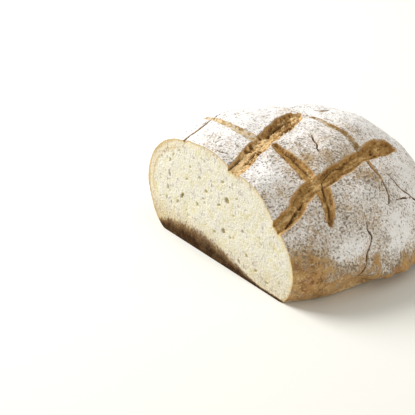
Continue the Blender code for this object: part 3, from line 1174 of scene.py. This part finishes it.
@dataclass(frozen=True)
class CrustFinish:
    """Browned crust under a dusting of flour, with torn slashes that the flour leaves bare.

    Each colour is followed by the bands over which it comes in. The bands on edge, split and core
    are in millimetres.
    """

    name: str = "floured_crust"
    roughness: float = 0.95
    specular: float = 0.15
    grain_sizes: tuple[tuple[float, float], ...] = ((1.1 * MM, 1.0), (0.95 * MM, 1.0),
                                                    (2.4 * MM, 2.0), (6.5 * MM, 3.0),
                                                    (15 * MM, 2.0))
    # the bare crust
    brown: Color = linear(184, 147, 97)
    brown_dark: Color = linear(126, 90, 50)
    dark_band: Band = Band(0.3, 1.0, 0.95)
    # painted shade in the fine wrinkles
    crease_shade_share: float = 0.6
    ember: Color = linear(168, 121, 73)
    ember_band: Band = Band(0.4, 0.8, 0.6)
    brown_light: Color = linear(216, 188, 142)
    light_band: Band = Band(0.45, 1.05)
    baked: Color = linear(158, 102, 62)
    baked_band: Band = Band(0.45, 1.15, 0.8)
    sole: Color = linear(222, 200, 158)
    sole_band: Band = Band(0.1, 0.6)
    # the slashes
    # the torn floors' dark end: partly their own colour, partly painted shade in their low places
    # and on the far side
    crumbs_dark_and_shade: Color = linear(95, 63, 28)
    crumbs: Color = linear(166, 127, 73)
    crumbs_band: Band = Band(0.0, 0.46)
    crumbs_light: Color = linear(212, 178, 122)
    crumbs_loose: Color = linear(220, 189, 140)
    loose_band: Band = Band(0.48, 0.98)
    # the walls' baked skin, made darker as painted shade
    wall_dark_skin_and_shade: Color = linear(116, 78, 42)
    wall: Color = linear(162, 113, 66)
    wall_tone: Band = Band(0.1, 0.7)
    wall_reach: Band = Band(-2.4, -0.8)
    wall_patches: Band = Band(0.2, 0.8)
    wall_share: float = 0.7
    golden_dark: Color = linear(142, 114, 72)
    golden: Color = linear(220, 198, 154)
    golden_band: Band = Band(0.1, 0.95)
    # painted shade in the deep crevices of the slashes
    rift_shade: Color = linear(84, 58, 28)
    rift_shade_band: Band = Band(0.15, 0.9, 0.6)
    # a pale lip: partly flour on the edge, partly painted highlight
    lip_flour_and_highlight: Color = linear(212, 186, 142)
    lip_inside: Band = Band(-1.0, -0.3)
    lip_outside: Band = Band(0.2, 0.9)
    lip_patches: Band = Band(0.2, 0.9)
    lip_share: float = 0.5
    # the flour
    dust: Color = linear(168, 149, 119)
    film_band: Band = Band(0.0, 0.34)
    film_share: float = 0.7
    flour: Color = linear(236, 234, 232)
    flour_band: Band = Band(0.04, 0.94)
    salt_band: Band = Band(0.05, 0.5, 0.42)
    salt_least: float = 0.08
    flour_low: Color = linear(210, 205, 197)
    worn_band: Band = Band(0.45, 0.95)
    speck: Color = linear(104, 83, 58)
    pore_band: Band = Band(0.42, 0.62)
    pore_share: float = 0.7
    # painted shade in the fine wrinkles under the flour
    floured_crease_shade: float = 0.5
    bare_band: Band = Band(-0.2, 0.5)
    sifted_band: Band = Band(0.2, 0.9, 0.85)
    # the cracks
    crack_floor: Color = linear(170, 134, 90)
    crack_band: Band = Band(-0.4, 0.4)
    crack_share: float = 0.55
    # painted shade down the middle of the cracks
    crack_shade: Color = linear(56, 37, 20)
    core_shade_band: Band = Band(0.35, 0.95)
    core_shade_share: float = 0.92
    bump_depth: float = 0.3 * MM

    def bare_crust(self, shader: Shader, grains: Grains) -> Value:
        """Browned dough, lighter in flecks, redder in embers and where it caught the heat, with
        painted shade in its wrinkles.

        Args:
            shader: the material being made.
            grains: its noises.

        Returns:
            The crust's colour.
        """
        shade = (grains.patch + grains.ragged() * 0.3).rise(self.dark_band)
        color = shader.mix(self.brown, self.brown_dark, shade)
        color = shader.mix(color, self.ember, grains.cloud.rise(self.ember_band))
        light = (grains.fleck * 0.5 + grains.salt * 0.5).rise(self.light_band)
        color = shader.mix(color, self.brown_light, light)
        # painted shade in the fine wrinkles
        crease = shader.attribute("crease") * self.crease_shade_share
        color = shader.mix(color, self.brown_dark, crease)
        baked = shader.attribute("baked") + grains.patch.swing(0.7) + grains.fleck * 0.3
        color = shader.mix(color, self.baked, baked.rise(self.baked_band))
        sole = shader.attribute("sole") * grains.fleck.rise(self.sole_band)
        return shader.mix(color, self.sole, sole)

    def slash_floor(self, shader: Shader, grains: Grains, edge: Value, bare: Value) -> Value:
        """The torn inside of the slashes, with smooth skin on their walls darkened by painted
        shade, and a pale lip, partly flour on its edge and partly painted highlight.

        Args:
            shader: the material being made.
            grains: its noises.
            edge: distance from the slashes' edges, in millimetres, with its border ragged.
            bare: the colour of the crust beside them.

        Returns:
            The colour of crust and slashes without flour.
        """
        torn = shader.attribute("torn")
        dusted = shader.attribute("dusted")
        loose = shader.attribute("loose")
        tone = shader.attribute("strand") + grains.fleck.swing(0.30) + grains.speck.swing(0.34)
        crumbs = (tone + loose * 0.1).rise(self.crumbs_band)
        color = shader.mix(self.crumbs_dark_and_shade, self.crumbs, crumbs)
        light = shader.mix(self.crumbs_light, self.crumbs_loose, loose)
        color = shader.mix(color, light, (tone + loose * 0.2).rise(self.loose_band))
        # painted shade on the walls, over their baked skin
        skin = (grains.patch + grains.ragged() * 0.4).rise(self.wall_patches) * (1 - loose * 0.6)
        wall = shader.mix(self.wall_dark_skin_and_shade, self.wall, tone.rise(self.wall_tone))
        color = shader.mix(color, wall, edge.rise(self.wall_reach) * skin * self.wall_share)
        golden = shader.mix(self.golden_dark, self.golden, tone.rise(self.golden_band))
        color = shader.mix(color, golden, dusted * (1 - torn))
        # painted shade down the crevices
        color = shader.mix(color, self.rift_shade, shader.attribute("rift_shade").rise(self.rift_shade_band))
        color = shader.mix(bare, color, torn.most(dusted))
        # the pale lip: partly flour on the edge, partly painted highlight
        lip_flour_and_highlight = edge.rise(self.lip_inside) * (1 - edge.rise(self.lip_outside)) * (1 - dusted)
        lip_flour_and_highlight = lip_flour_and_highlight * grains.patch.rise(self.lip_patches) * self.lip_share
        return shader.mix(color, self.lip_flour_and_highlight, lip_flour_and_highlight)

    def floured(self, shader: Shader, grains: Grains, color: Value, lies: Value) -> Value:
        """Flour over a colour: a thin grey-brown film, white grains on it, and open pores, with
        painted shade in the wrinkles.

        Args:
            shader: the material being made.
            grains: its noises.
            color: what the flour lies on.
            lies: where flour can lie, from 0 to 1.

        Returns:
            The colour with its flour.
        """
        flour = shader.attribute("flour")
        film = (flour + grains.fleck.swing(0.16)).rise(self.film_band)
        thick = flour + grains.patch.swing(0.34) + grains.fleck.swing(0.24)
        salt = (grains.salt - 0.5) * (flour.rise(self.salt_band) + self.salt_least)
        color = shader.mix(color, self.dust, film * lies * self.film_share)
        worn = (grains.patch * 0.5 + grains.fleck * 0.5).rise(self.worn_band)
        powder = shader.mix(self.flour, self.flour_low, worn)
        color = shader.mix(color, powder, (thick + salt).rise(self.flour_band) * lies)
        pores = grains.speck * 0.64 + grains.patch * 0.18 + grains.fleck * 0.18
        pores = (pores - flour * 0.24).rise(self.pore_band)
        color = shader.mix(color, self.speck, pores * lies * film * self.pore_share)
        # painted shade in the fine wrinkles under the flour
        crease = shader.attribute("crease") * self.floured_crease_shade * lies
        return shader.mix(color, self.speck, crease)

    def cracked(self, shader: Shader, color: Value, split: Value) -> Value:
        """Cracks over a colour: brown inside, with a dark line of painted shade along their middle.

        Args:
            shader: the material being made.
            color: what the cracks go through.
            split: distance from the cracks' edges, in millimetres, with its border ragged.

        Returns:
            The colour with its cracks.
        """
        inside = (1 - split.rise(self.crack_band)) * self.crack_share
        color = shader.mix(color, self.crack_floor, inside)
        # painted shade along the cracks' middle
        core = (1 - shader.attribute("core").rise(self.core_shade_band)) * self.core_shade_share
        return shader.mix(color, self.crack_shade, core)

    def build(self) -> bpy.types.Material:
        """Builds the material from the mesh's fields and noises on its own coordinates.

        Returns:
            The material.
        """
        shader = Shader(self.name, self.roughness, self.specular)
        grains = Grains(*(shader.noise(size, detail) for size, detail in self.grain_sizes))
        edge = shader.attribute("edge") + grains.ragged()
        split = shader.attribute("split") + grains.fleck.swing(0.2)
        dusted = shader.attribute("dusted") * (1 - shader.attribute("torn"))
        color = self.slash_floor(shader, grains, edge, self.bare_crust(shader, grains))
        sifted = shader.attribute("powder") + grains.fleck.swing(0.7) + grains.patch.swing(0.6)
        sifted = dusted * sifted.rise(self.sifted_band)
        lies = (edge.rise(self.bare_band) * split.rise(self.crack_band)).most(sifted)
        color = self.floured(shader, grains, color, lies)
        shader.set_color(self.cracked(shader, color, split))
        relief = grains.speck * 0.5 + grains.fleck * 0.7
        shader.set_bump(relief + shader.attribute("flour") * lies * 0.2, self.bump_depth)
        return shader.material


@dataclass(frozen=True)
class CrumbFinish:
    """Cream crumb, browner towards the crust, with painted shade in its holes and towards the
    bottom, and a dark band along the bottom that is partly darker bottom crust, partly painted
    shadow.

    Each colour is followed by the band over which it comes in. The bands on rim are in
    millimetres from the crust.
    """

    name: str = "cream_crumb"
    roughness: float = 0.95
    specular: float = 0.12
    shade: Color = linear(212, 203, 166)
    cream: Color = linear(229, 225, 210)
    cream_band: Band = Band(0.16, 0.58)
    pale: Color = linear(242, 239, 228)
    pale_band: Band = Band(0.5, 0.95)
    zone: Color = linear(224, 208, 170)
    zone_band: Band = Band(1.5, 7.5)
    zone_share: float = 0.5
    # painted shade: the crumb darker towards the bottom, most on the left
    low: Color = linear(200, 182, 142)
    low_share: float = 0.8
    # the holes' colour: a browner crumb with painted shade, deeper holes darker
    hole: Color = linear(172, 155, 98)
    hole_shade_band: Band = Band(0.15, 1.3, 0.9)
    arc: Color = linear(196, 166, 108)
    arc_band: Band = Band(0.1, 0.7)
    arc_share: float = 0.7
    rim: Color = linear(202, 174, 122)
    rim_band: Band = Band(0.4, 2.0)
    rim_share: float = 0.85
    # the dark band along the bottom: partly the darker bottom crust, partly painted shadow
    bottom_crust_and_shade_edge: Color = linear(108, 72, 26)
    under_edge_band: Band = Band(-0.05, 0.5, 0.88)
    bottom_crust_and_shade: Color = linear(50, 30, 6)
    under_band: Band = Band(0.3, 1.1)
    red: Color = linear(110, 72, 40)
    red_band: Band = Band(0.6, 0.95, 0.7)
    bump_depth: float = 0.34 * MM

    def build(self) -> bpy.types.Material:
        """Builds the material from the fields of the cut face.

        Returns:
            The material.
        """
        shader = Shader(self.name, self.roughness, self.specular)
        mottle = shader.noise(4.6 * MM, 3.0)
        cell = shader.noise(1.5 * MM, 2.0)
        grain = shader.noise(0.8 * MM, 1.0)
        rim = shader.attribute("rim") + mottle.swing(1.4) + cell.swing(0.8)
        bottom_crust_and_shade = shader.attribute("bottom_crust_and_shade") + mottle.swing(0.36) + cell.swing(0.30)
        tone = mottle * 0.52 + cell * 0.38 + grain * 0.10
        color = shader.mix(self.shade, self.cream, tone.rise(self.cream_band))
        color = shader.mix(color, self.pale, tone.rise(self.pale_band))
        color = shader.mix(color, self.zone, (1 - rim.rise(self.zone_band)) * self.zone_share)
        # painted shade towards the bottom of the face
        painted_low_shade = shader.attribute("low") * (self.low_share + cell.swing(1.2))
        color = shader.mix(color, self.low, painted_low_shade)
        # painted shade in the holes, deeper ones darker
        color = shader.mix(color, self.hole, shader.attribute("hole").rise(self.hole_shade_band))
        arc = shader.attribute("arc") * cell.rise(self.arc_band) * self.arc_share
        color = shader.mix(color, self.arc, arc)
        color = shader.mix(color, self.rim, (1 - rim.rise(self.rim_band)) * self.rim_share)
        # the band along the bottom: darker bottom crust with painted shadow over it
        color = shader.mix(color, self.bottom_crust_and_shade_edge, bottom_crust_and_shade.rise(self.under_edge_band))
        lower = shader.mix(self.bottom_crust_and_shade, self.red, cell.rise(self.red_band))
        color = shader.mix(color, lower, bottom_crust_and_shade.rise(self.under_band))
        shader.set_color(color)
        shader.set_bump(grain * 0.3 + cell * 0.8, self.bump_depth)
        return shader.material


@dataclass(frozen=True)
class FloorFinish:
    """A plain white studio surface."""

    name: str = "studio_white"
    roughness: float = 1.0
    specular: float = 0.0
    white: Color = (0.81, 0.802, 0.755, 1.0)

    def build(self) -> bpy.types.Material:
        """Builds the plain matte material.

        Returns:
            The material.
        """
        shader = Shader(self.name, self.roughness, self.specular)
        shader.surface.inputs["Base Color"].default_value = self.white
        return shader.material


@dataclass
class Crust:
    """The loaf's outer skin, from the cut's edge round to its far end."""

    form: LoafForm
    relief: CrustRelief
    shift: Array
    rows: int = 430
    first_row: float = 0.004
    pitch: float = 0.46 * MM
    fine_turns: int = 4001
    floor_height: float = 0.5 * MM
    foot_share: float = 0.3
    foot_height: float = 1.5 * MM
    cut_lock: float = 5 * MM
    tuck: float = 1.4 * MM
    tuck_depth: float = 0.7 * MM
    parts: tuple[str, ...] = ("crust_right_flank", "crust_right_crown", "crust_left_crown",
                              "crust_left_flank", "crust_foot")
    grid: Grid | None = field(default=None, init=False)
    smooth: Array | None = field(default=None, init=False)

    def cut_centre(self) -> Array:
        """The place of the knife's plane from which the cut's outline is measured."""
        return np.array([0.0, -self.form.cut_distance, self.form.heart[2]])

    def turns(self) -> Array:
        """Angles round the loaf's long axis, spaced evenly along the cut's outline.

        The outline's length is measured on a fine ring of rays in the knife's plane, with the
        floor counted at a share of its length, and the angles are read back at even steps.

        Returns:
            The angles, over one whole turn from straight down.
        """
        fine = np.linspace(-math.pi / 2, 1.5 * math.pi, self.fine_turns)
        ring = self.form.reach_from(self.cut_centre(), level_rays(fine))
        steps = np.linalg.norm(np.diff(ring, axis=0), axis=1)
        low = ring[:, 2] < self.floor_height
        steps = np.where(low[1:] & low[:-1], steps * self.foot_share, steps)
        length = np.concatenate([[0.0], np.cumsum(steps)])
        count = int(length[-1] / self.pitch)
        return np.interp(np.linspace(0.0, length[-1], count + 1), length, fine)

    def bare_grid(self) -> Array:
        """Places of the form before its relief, in rows from the far pole to the cut's edge.

        Row v and turn u give the ray (sin a cos u, cos a, sin a sin u) from the heart, with a
        equal to v times the angle at which that turn meets the cut's outline.

        Returns:
            Rows by turns of places.
        """
        turns = self.turns()
        centre = self.cut_centre()
        rim = self.form.reach_from(centre, level_rays(turns))
        across = np.linalg.norm(rim - centre, axis=1)
        last = np.arctan2(across, centre[1] - self.form.heart[1])
        angles = np.linspace(self.first_row, 1.0, self.rows)[:, None] * last
        rays = np.stack([np.sin(angles) * np.cos(turns), np.cos(angles),
                         np.sin(angles) * np.sin(turns)], axis=-1)
        places = self.form.reach_from(np.array(self.form.heart), rays.reshape(-1, 3))
        places = places.reshape(rays.shape)
        places[-1] = rim
        return places

    def build_grid(self) -> None:
        """The form's grid with its relief, closed at the seam and the pole, tucked at the cut."""
        bare = Grid(self.bare_grid(), {})
        shape = bare.places.shape
        moved, fields = self.relief.apply(
            bare.places.reshape(-1, 3), bare.normals().reshape(-1, 3), self.cut_lock)
        moved = moved.reshape(shape)
        moved[-1, :, 1] = -self.form.cut_distance
        moved[:, -1] = moved[:, 0]
        moved[0] = moved[1].mean(axis=0)
        smooth = Grid(moved, {}).normals()
        seam = unit(smooth[:, 0] + smooth[:, -1])
        smooth[:, 0] = seam
        smooth[:, -1] = seam
        smooth[0] = unit(smooth[1].mean(axis=0, keepdims=True))
        self.smooth = np.concatenate([smooth, smooth[-1:]])
        tucked = moved[-1] + unit(self.cut_centre() - moved[-1]) * self.tuck
        tucked[:, 1] += self.tuck_depth
        shaped = {name: values.reshape(shape[:2]) for name, values in fields.items()}
        self.grid = Grid(np.concatenate([moved, tucked[None]]), {
            name: np.concatenate([values, values[-1:]]) for name, values in shaped.items()})

    def cuts(self) -> list[int]:
        """Columns at which the crust is cut into pieces: the foot, then four even shares.

        Returns:
            The first column past the foot, the three cuts between, and the last column.
        """
        raised = self.edge()[:, 2] > self.foot_height
        first, last = np.flatnonzero(raised)[[0, -1]]
        return np.linspace(first, last, len(self.parts)).round().astype(int).tolist()

    def build(self) -> list[bpy.types.Object]:
        """Makes the crust's pieces, each a run of the grid's columns.

        Returns:
            The pieces.
        """
        self.build_grid()
        cuts = self.cuts()
        last = self.grid.places.shape[1] - 1
        runs = [np.arange(start, end + 1) for start, end in zip(cuts, cuts[1:])]
        runs.append(np.concatenate([np.arange(cuts[-1], last), np.arange(0, cuts[0] + 1)]))
        return [grid_object(name, self.grid.columns(run), self.shift, self.smooth[:, run],
                            pole=True) for name, run in zip(self.parts, runs)]

    def edge(self) -> Array:
        """The crust's edge on the knife's plane, as a closed ring of places."""
        return self.grid.places[-2]


@dataclass(frozen=True)
class Hole:
    """A hole of the crumb: its place, half length and half height in metres, and its turn.

    Fullness is its depth over the mean of its half sizes.
    """

    x: float
    z: float
    half_length: float
    half_height: float
    turn: float
    fullness: float

    def depth(self, x: Array, z: Array) -> Array:
        """Depth of the bowl at places: full depth times sqrt(1 - r^2).

        The distance r is over the half sizes, along and across the hole's turn.

        Args:
            x, z: the places.

        Returns:
            One depth for each place, 0 outside the hole.
        """
        along = math.cos(self.turn)
        aside = math.sin(self.turn)
        u = ((x - self.x) * along + (z - self.z) * aside) / self.half_length
        v = ((z - self.z) * along - (x - self.x) * aside) / self.half_height
        bowl = np.sqrt(np.clip(1 - u * u - v * v, 0.0, 1.0))
        return bowl * self.fullness * (self.half_length + self.half_height) / 2


# x, height, half length and half height in millimetres, then the turn in degrees
BIG_HOLES = (
    (9, 60, 3.2, 2.9, 0), (4, 31, 2.9, 2.4, 30), (-20, 57, 2.6, 1.8, 10),
    (-54, 41, 1.8, 4.0, -35), (-29, 66, 1.9, 1.7, 0), (-42, 71, 1.8, 1.3, 0),
    (-32, 41, 2.8, 1.4, -30), (3, 74, 2.2, 1.4, 15), (-2, 52, 2.8, 1.2, 20),
    (30, 41, 1.8, 1.6, 0), (14, 29, 1.7, 1.5, 0), (-8, 26, 2.0, 1.7, 40), (36, 22, 2.3, 1.6, -30),
    (26, 12, 2.2, 1.5, -35), (48, 14, 2.4, 1.6, 30), (62, 9, 2.6, 1.3, 0),
    (-72, 55, 1.3, 3.4, 12), (-75, 41, 1.2, 3.0, 6), (-71, 67, 1.2, 2.6, -25),
    (55, 40, 1.7, 1.3, 0), (-77, 31, 1.0, 2.6, -4), (-75, 48, 0.9, 2.2, 8),
    (-66, 74, 0.9, 2.4, -38), (-58, 80, 0.8, 2.2, -55), (-61, 33, 1.1, 2.6, -30),
    (-24, 49, 2.2, 1.0, 12), (18, 50, 2.0, 1.0, -10), (-47, 58, 1.9, 1.0, 20),
    (-12, 69, 1.8, 0.9, 0), (22, 66, 1.6, 0.9, 15),
)


@dataclass(frozen=True)
class FineHoles:
    """The crumb's fine holes, strewn at random: many small ones and ever fewer larger ones."""

    count: int = 1500
    least: float = 0.4 * MM
    most: float = 1.7 * MM
    size_power: float = -1 / 2.4
    flattest: float = 0.55
    fullness: float = 0.9 * 0.6
    seed: int = 11

    def scatter(self, low: tuple[float, float], high: tuple[float, float]) -> list[Hole]:
        """Strews the holes over a rectangle of the face.

        Args:
            low: the rectangle's lowest x and height.
            high: its highest.

        Returns:
            The holes.
        """
        rng = np.random.default_rng(self.seed)
        sizes = self.least * (1 - rng.random(self.count)) ** self.size_power
        sizes = np.minimum(sizes, self.most)
        spots = rng.uniform(low, high, (self.count, 2))
        flat = rng.uniform(self.flattest, 1.0, self.count)
        turns = rng.uniform(-math.pi, math.pi, self.count)
        return [Hole(x, z, size, size * squash, turn, self.fullness)
                for (x, z), size, squash, turn in zip(spots, sizes, flat, turns)]


@dataclass
class CrumbFace:
    """The face that the knife left: crumb with its holes, ringed by the thin edge of crust.

    The ramps for the finish's fields are in millimetres along the face or up it.
    """

    form: LoafForm
    edge: Array
    shift: Array
    name: str = "crumb_face"
    pitch: float = 0.52 * MM
    rows: int = 92
    spine_height: float = 44 * MM
    spine_half: float = 66 * MM
    spine_share: float = 0.62
    smoothing: int = 16
    # holes
    raster: float = 0.2 * MM
    margin: float = 5 * MM
    big_fullness: float = 0.9
    fine_holes: FineHoles = FineHoles()
    bowl_share: float = 0.6
    bowl_inset: Ramp = Ramp(0.8 * MM, 2.6 * MM)
    full_depth: float = 1.6 * MM
    # relief
    warp: tuple[Noise, ...] = (Noise(0.5 * MM, 3.2 * MM, 2, 43), Noise(0.5 * MM, 3.2 * MM, 2, 44))
    rough: Noise = Noise(0.12 * MM, 1.5 * MM, 2, 41)
    wave: Noise = Noise(0.35 * MM, 18 * MM, 2, 42)
    relief_inset: Ramp = Ramp(0.0, 3 * MM)
    # the band along the bottom, partly darker bottom crust and partly painted shadow, and the
    # painted shade above it
    under_least: float = 2.0
    under_more: float = 11.9
    under_right: Ramp = Ramp(60, -20)
    under_left: Ramp = Ramp(-118, -42)
    under_start: float = 1.45
    # painted shade towards the bottom, stronger on the left
    painted_shade_fade: Ramp = Ramp(4, 34)
    painted_shade_least: float = 0.45
    painted_shade_more: float = 0.7
    painted_shade_left: Ramp = Ramp(10, -50)
    # the thicker rim on the left and the line inside it
    rim_more: float = 0.9
    rim_left: Ramp = Ramp(-52, -78)
    arc_inset: float = 7.5
    arc_width: float = 1.3
    arc_left: Ramp = Ramp(-48, -66)
    arc_height: Ramp = Ramp(18, 32)

    def outline(self) -> Array:
        """The crust's edge read again at even steps of its length.

        Returns:
            A closed ring of places.
        """
        steps = np.linalg.norm(np.diff(self.edge, axis=0), axis=1)
        length = np.concatenate([[0.0], np.cumsum(steps)])
        count = int(length[-1] / self.pitch)
        at = np.linspace(0.0, length[-1], count + 1)
        return np.stack([np.interp(at, length, self.edge[:, axis]) for axis in range(3)], axis=1)

    def holes(self, x: Array, z: Array) -> list[Hole]:
        """The big holes, then the fine ones strewn over the rectangle that holds the places.

        Args:
            x, z: the places.

        Returns:
            The holes.
        """
        big = [Hole(x * MM, z * MM, half_length * MM, half_height * MM, math.radians(turn),
                    self.big_fullness)
               for x, z, half_length, half_height, turn in BIG_HOLES]
        return big + self.fine_holes.scatter((x.min(), z.min()), (x.max(), z.max()))

    def hole_depths(self, x: Array, z: Array) -> Array:
        """Depth of the crumb's holes at places of the face, in metres.

        Every hole is stamped on a fine raster, which is then read between its four nearest
        points.

        Args:
            x, z: the places.

        Returns:
            One depth for each place.
        """
        low = np.array([x.min(), z.min()]) - self.margin
        high = np.array([x.max(), z.max()]) + self.margin
        shape = np.ceil((high - low) / self.raster).astype(int)
        depth = np.zeros(tuple(shape))
        for hole in self.holes(x, z):
            reach = max(hole.half_length, hole.half_height)
            start = (np.array([hole.x, hole.z]) - reach - low) / self.raster
            first = np.maximum(start, 0).astype(int)
            end = np.minimum((first + 2 * reach / self.raster + 2).astype(int), shape)
            columns, rows = np.meshgrid(np.arange(first[0], end[0]),
                                        np.arange(first[1], end[1]), indexing="ij")
            bowl = hole.depth(columns * self.raster + low[0], rows * self.raster + low[1])
            window = depth[first[0]:end[0], first[1]:end[1]]
            np.maximum(window, bowl, out=window)
        at_x = (x - low[0]) / self.raster
        at_z = (z - low[1]) / self.raster
        i, j = at_x.astype(int), at_z.astype(int)
        share_x, share_z = at_x - i, at_z - j
        lower = depth[i, j] * (1 - share_x) + depth[i + 1, j] * share_x
        upper = depth[i, j + 1] * (1 - share_x) + depth[i + 1, j + 1] * share_x
        return lower * (1 - share_z) + upper * share_z

    def finish_fields(self, places: Array, inset: Array, depth: Array,
                      waver: Array) -> dict[str, Array]:
        """The fields that the finish reads.

        Args:
            places: rows by steps of places.
            inset: their distances from the crust's edge.
            depth: how deep they lie in a hole.
            waver: a noise in metres that bends the line inside the rim.

        Returns:
            Each field by its name.
        """
        x, z = places[:, :, 0] / MM, places[:, :, 2] / MM
        thick = self.under_least + (self.under_more * self.under_right.rise(x)
                                    * self.under_left.rise(x))
        # how far into the band along the bottom a place lies: partly bottom crust, partly painted
        # shadow
        bottom_crust_and_shade = np.clip(self.under_start - z / thick, 0.0, 1.0)
        # painted shade towards the bottom, stronger on the left
        low = self.painted_shade_fade.fall(z) * (self.painted_shade_least + self.painted_shade_more * self.painted_shade_left.rise(x))
        left = 1 + self.rim_more * self.rim_left.rise(x)
        line = bell(inset / MM + waver / self.warp[0].height - self.arc_inset, self.arc_width)
        arc = line * self.arc_left.rise(x) * self.arc_height.rise(z)
        return {"hole": depth / self.full_depth, "rim": inset / MM / left, "bottom_crust_and_shade": bottom_crust_and_shade,
                "low": low, "arc": arc}

    def build(self) -> bpy.types.Object:
        """Rows from a level spine in the middle of the face out to the crust's edge.

        Row v and step u give spine(u) + v (edge(u) - spine(u)), pushed in by the holes.

        Returns:
            The piece.
        """
        rim = self.outline()
        spine_x = np.clip(rim[:, 0] * self.spine_share, -self.spine_half, self.spine_half)
        spine = np.stack([spine_x, rim[:, 1], np.full(len(rim), self.spine_height)], axis=1)
        share = np.linspace(0.0, 1.0, self.rows)[:, None, None]
        places = spine + share * (rim - spine)
        ring = rim[:-1]
        span = self.smoothing
        tangent = unit(np.roll(ring, -span, axis=0) - np.roll(ring, span, axis=0))
        tangent = np.concatenate([tangent, tangent[:1]])
        outward = np.stack([tangent[:, 2], np.zeros(len(rim)), -tangent[:, 0]], axis=1)
        inset = np.abs(np.sum((rim - places) * outward, axis=2))
        flat = places.reshape(-1, 3)
        warp = [noise.at(flat) for noise in self.warp]
        depth = self.hole_depths(flat[:, 0] + warp[0], flat[:, 2] + warp[1])
        depth = depth.reshape(inset.shape) * self.bowl_inset.rise(inset)
        relief = (self.rough.at(flat) + self.wave.at(flat)).reshape(inset.shape)
        places[:, :, 1] += depth * self.bowl_share + relief * self.relief_inset.rise(inset)
        fields = self.finish_fields(places, inset, depth, warp[0].reshape(inset.shape))
        face = Grid(places, fields).columns(slice(None, None, -1))
        return grid_object(self.name, face, self.shift)


@dataclass(frozen=True)
class Lamp:
    """A square soft light: its place, its side in metres, its power in watts and its colour."""

    name: str
    place: Triple
    side: float
    power: float
    tint: Triple

    def build(self, target: Triple) -> None:
        """Makes the light and turns it to a target.

        Args:
            target: the place that it points at.
        """
        light = bpy.data.lights.new(self.name, "AREA")
        light.shape = "SQUARE"
        light.size = self.side
        light.energy = self.power
        light.color = self.tint
        item = bpy.data.objects.new(self.name, light)
        item.location = self.place
        aim = Vector(target) - Vector(self.place)
        item.rotation_euler = aim.to_track_quat("-Z", "Y").to_euler()
        bpy.context.scene.collection.objects.link(item)


@dataclass
class Studio:
    """Floor, light and camera."""

    shift: Array
    azimuth: float = 54.7
    elevation: float = 25.4
    distance: float = 1.418
    target: Triple = (-0.034, -0.0527, 0.0343)
    image_side: int = 415
    pixels_per_metre: float = 1212.5
    sensor: float = 36.0
    view_end: float = 50.0
    floor_half: float = 6.0
    surround: Color = (1.0, 0.973, 0.905, 1.0)
    surround_strength: float = 0.56
    lit_place: Triple = (0.0, 0.0, 0.04)
    lamps: tuple[Lamp, ...] = (
        Lamp("key", (-1.5, -0.75, 1.4), 1.2, 59.5, (0.975, 0.985, 1.0)),
        Lamp("fill", (1.7, 1.1, 0.45), 0.9, 9.0, (1.0, 0.98, 0.95)),
    )

    def floor(self) -> bpy.types.Object:
        """A plain pale floor, one square.

        Returns:
            The floor.
        """
        size = self.floor_half
        grid = np.array([[(-size, -size, 0.0), (size, -size, 0.0)],
                         [(-size, size, 0.0), (size, size, 0.0)]])
        floor = grid_object("studio_floor", Grid(grid, {}), np.zeros(3))
        floor.data.materials.append(FloorFinish().build())
        return floor

    def lights(self) -> None:
        """Soft light from the upper left, and an even pale surround."""
        world = bpy.data.worlds.new("studio")
        world.use_nodes = True
        surround = world.node_tree.nodes["Background"]
        surround.inputs["Color"].default_value = self.surround
        surround.inputs["Strength"].default_value = self.surround_strength
        bpy.context.scene.world = world
        for lamp in self.lamps:
            lamp.build(self.lit_place)

    def camera(self) -> None:
        """The camera at the photograph's viewing angle."""
        turn = math.radians(self.azimuth)
        lift = math.radians(self.elevation)
        back = Vector((math.sin(turn) * math.cos(lift), -math.cos(turn) * math.cos(lift),
                       math.sin(lift)))
        aim = Vector(self.target) + Vector(self.shift)
        data = bpy.data.cameras.new("camera")
        data.sensor_width = self.sensor
        data.lens = self.pixels_per_metre * self.distance / self.image_side * self.sensor
        data.clip_end = self.view_end
        item = bpy.data.objects.new("camera", data)
        item.location = aim + back * self.distance
        item.rotation_euler = back.to_track_quat("Z", "Y").to_euler()
        bpy.context.scene.collection.objects.link(item)
        bpy.context.scene.camera = item

    def build(self) -> None:
        """Sets the whole studio up."""
        self.floor()
        self.lights()
        self.camera()
        bpy.context.scene.view_settings.view_transform = "Standard"


def frame_shift(form: LoafForm) -> Array:
    """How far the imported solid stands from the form's own middle.

    The cut face is the solid's lowest Y, and its X range is centred as the form's is, which is
    read from rays at every half degree and millimetre of the flank.

    Args:
        form: the loaf's form.

    Returns:
        What is added to a place of the form to bring it into the frame.
    """
    low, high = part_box(NODE)
    bearings = np.radians(np.linspace(-90, 270, 721))
    heights = np.linspace(1, 60, 60) * MM
    grid = np.stack(np.meshgrid(bearings, heights), axis=-1).reshape(-1, 2)
    flank = form.on_flank(grid[:, 0], grid[:, 1])
    flank = flank[flank[:, 1] > -form.cut_distance]
    middle_x = (flank[:, 0].min() + flank[:, 0].max()) / 2
    return np.array([(low[0] + high[0]) / 2 - middle_x, low[1] + form.cut_distance, 0.0])


def dress(piece: bpy.types.Object, material: bpy.types.Material) -> None:
    """Gives a piece its finish, ties it to the body, and hides the imported node that it
    stands for.

    Args:
        piece: the crust or crumb piece.
        material: its finish.
    """
    piece.data.materials.append(material)
    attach(piece, BODY)
    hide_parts(NODE)
    log.info("%s: %d faces", piece.name, len(piece.data.polygons))


def main() -> None:
    """Builds the loaf round the frame, then the studio."""
    logging.basicConfig(level=logging.INFO, format="%(name)s: %(message)s")
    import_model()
    form = LoafForm()
    shift = frame_shift(form)
    log.info("shift %s", shift)
    crust = Crust(form, CrustRelief(form), shift)
    finish = CrustFinish().build()
    for piece in crust.build():
        dress(piece, finish)
    face = CrumbFace(form, crust.edge(), shift)
    dress(face.build(), CrumbFinish().build())
    Studio(shift).build()


if __name__ == "__main__":
    main()
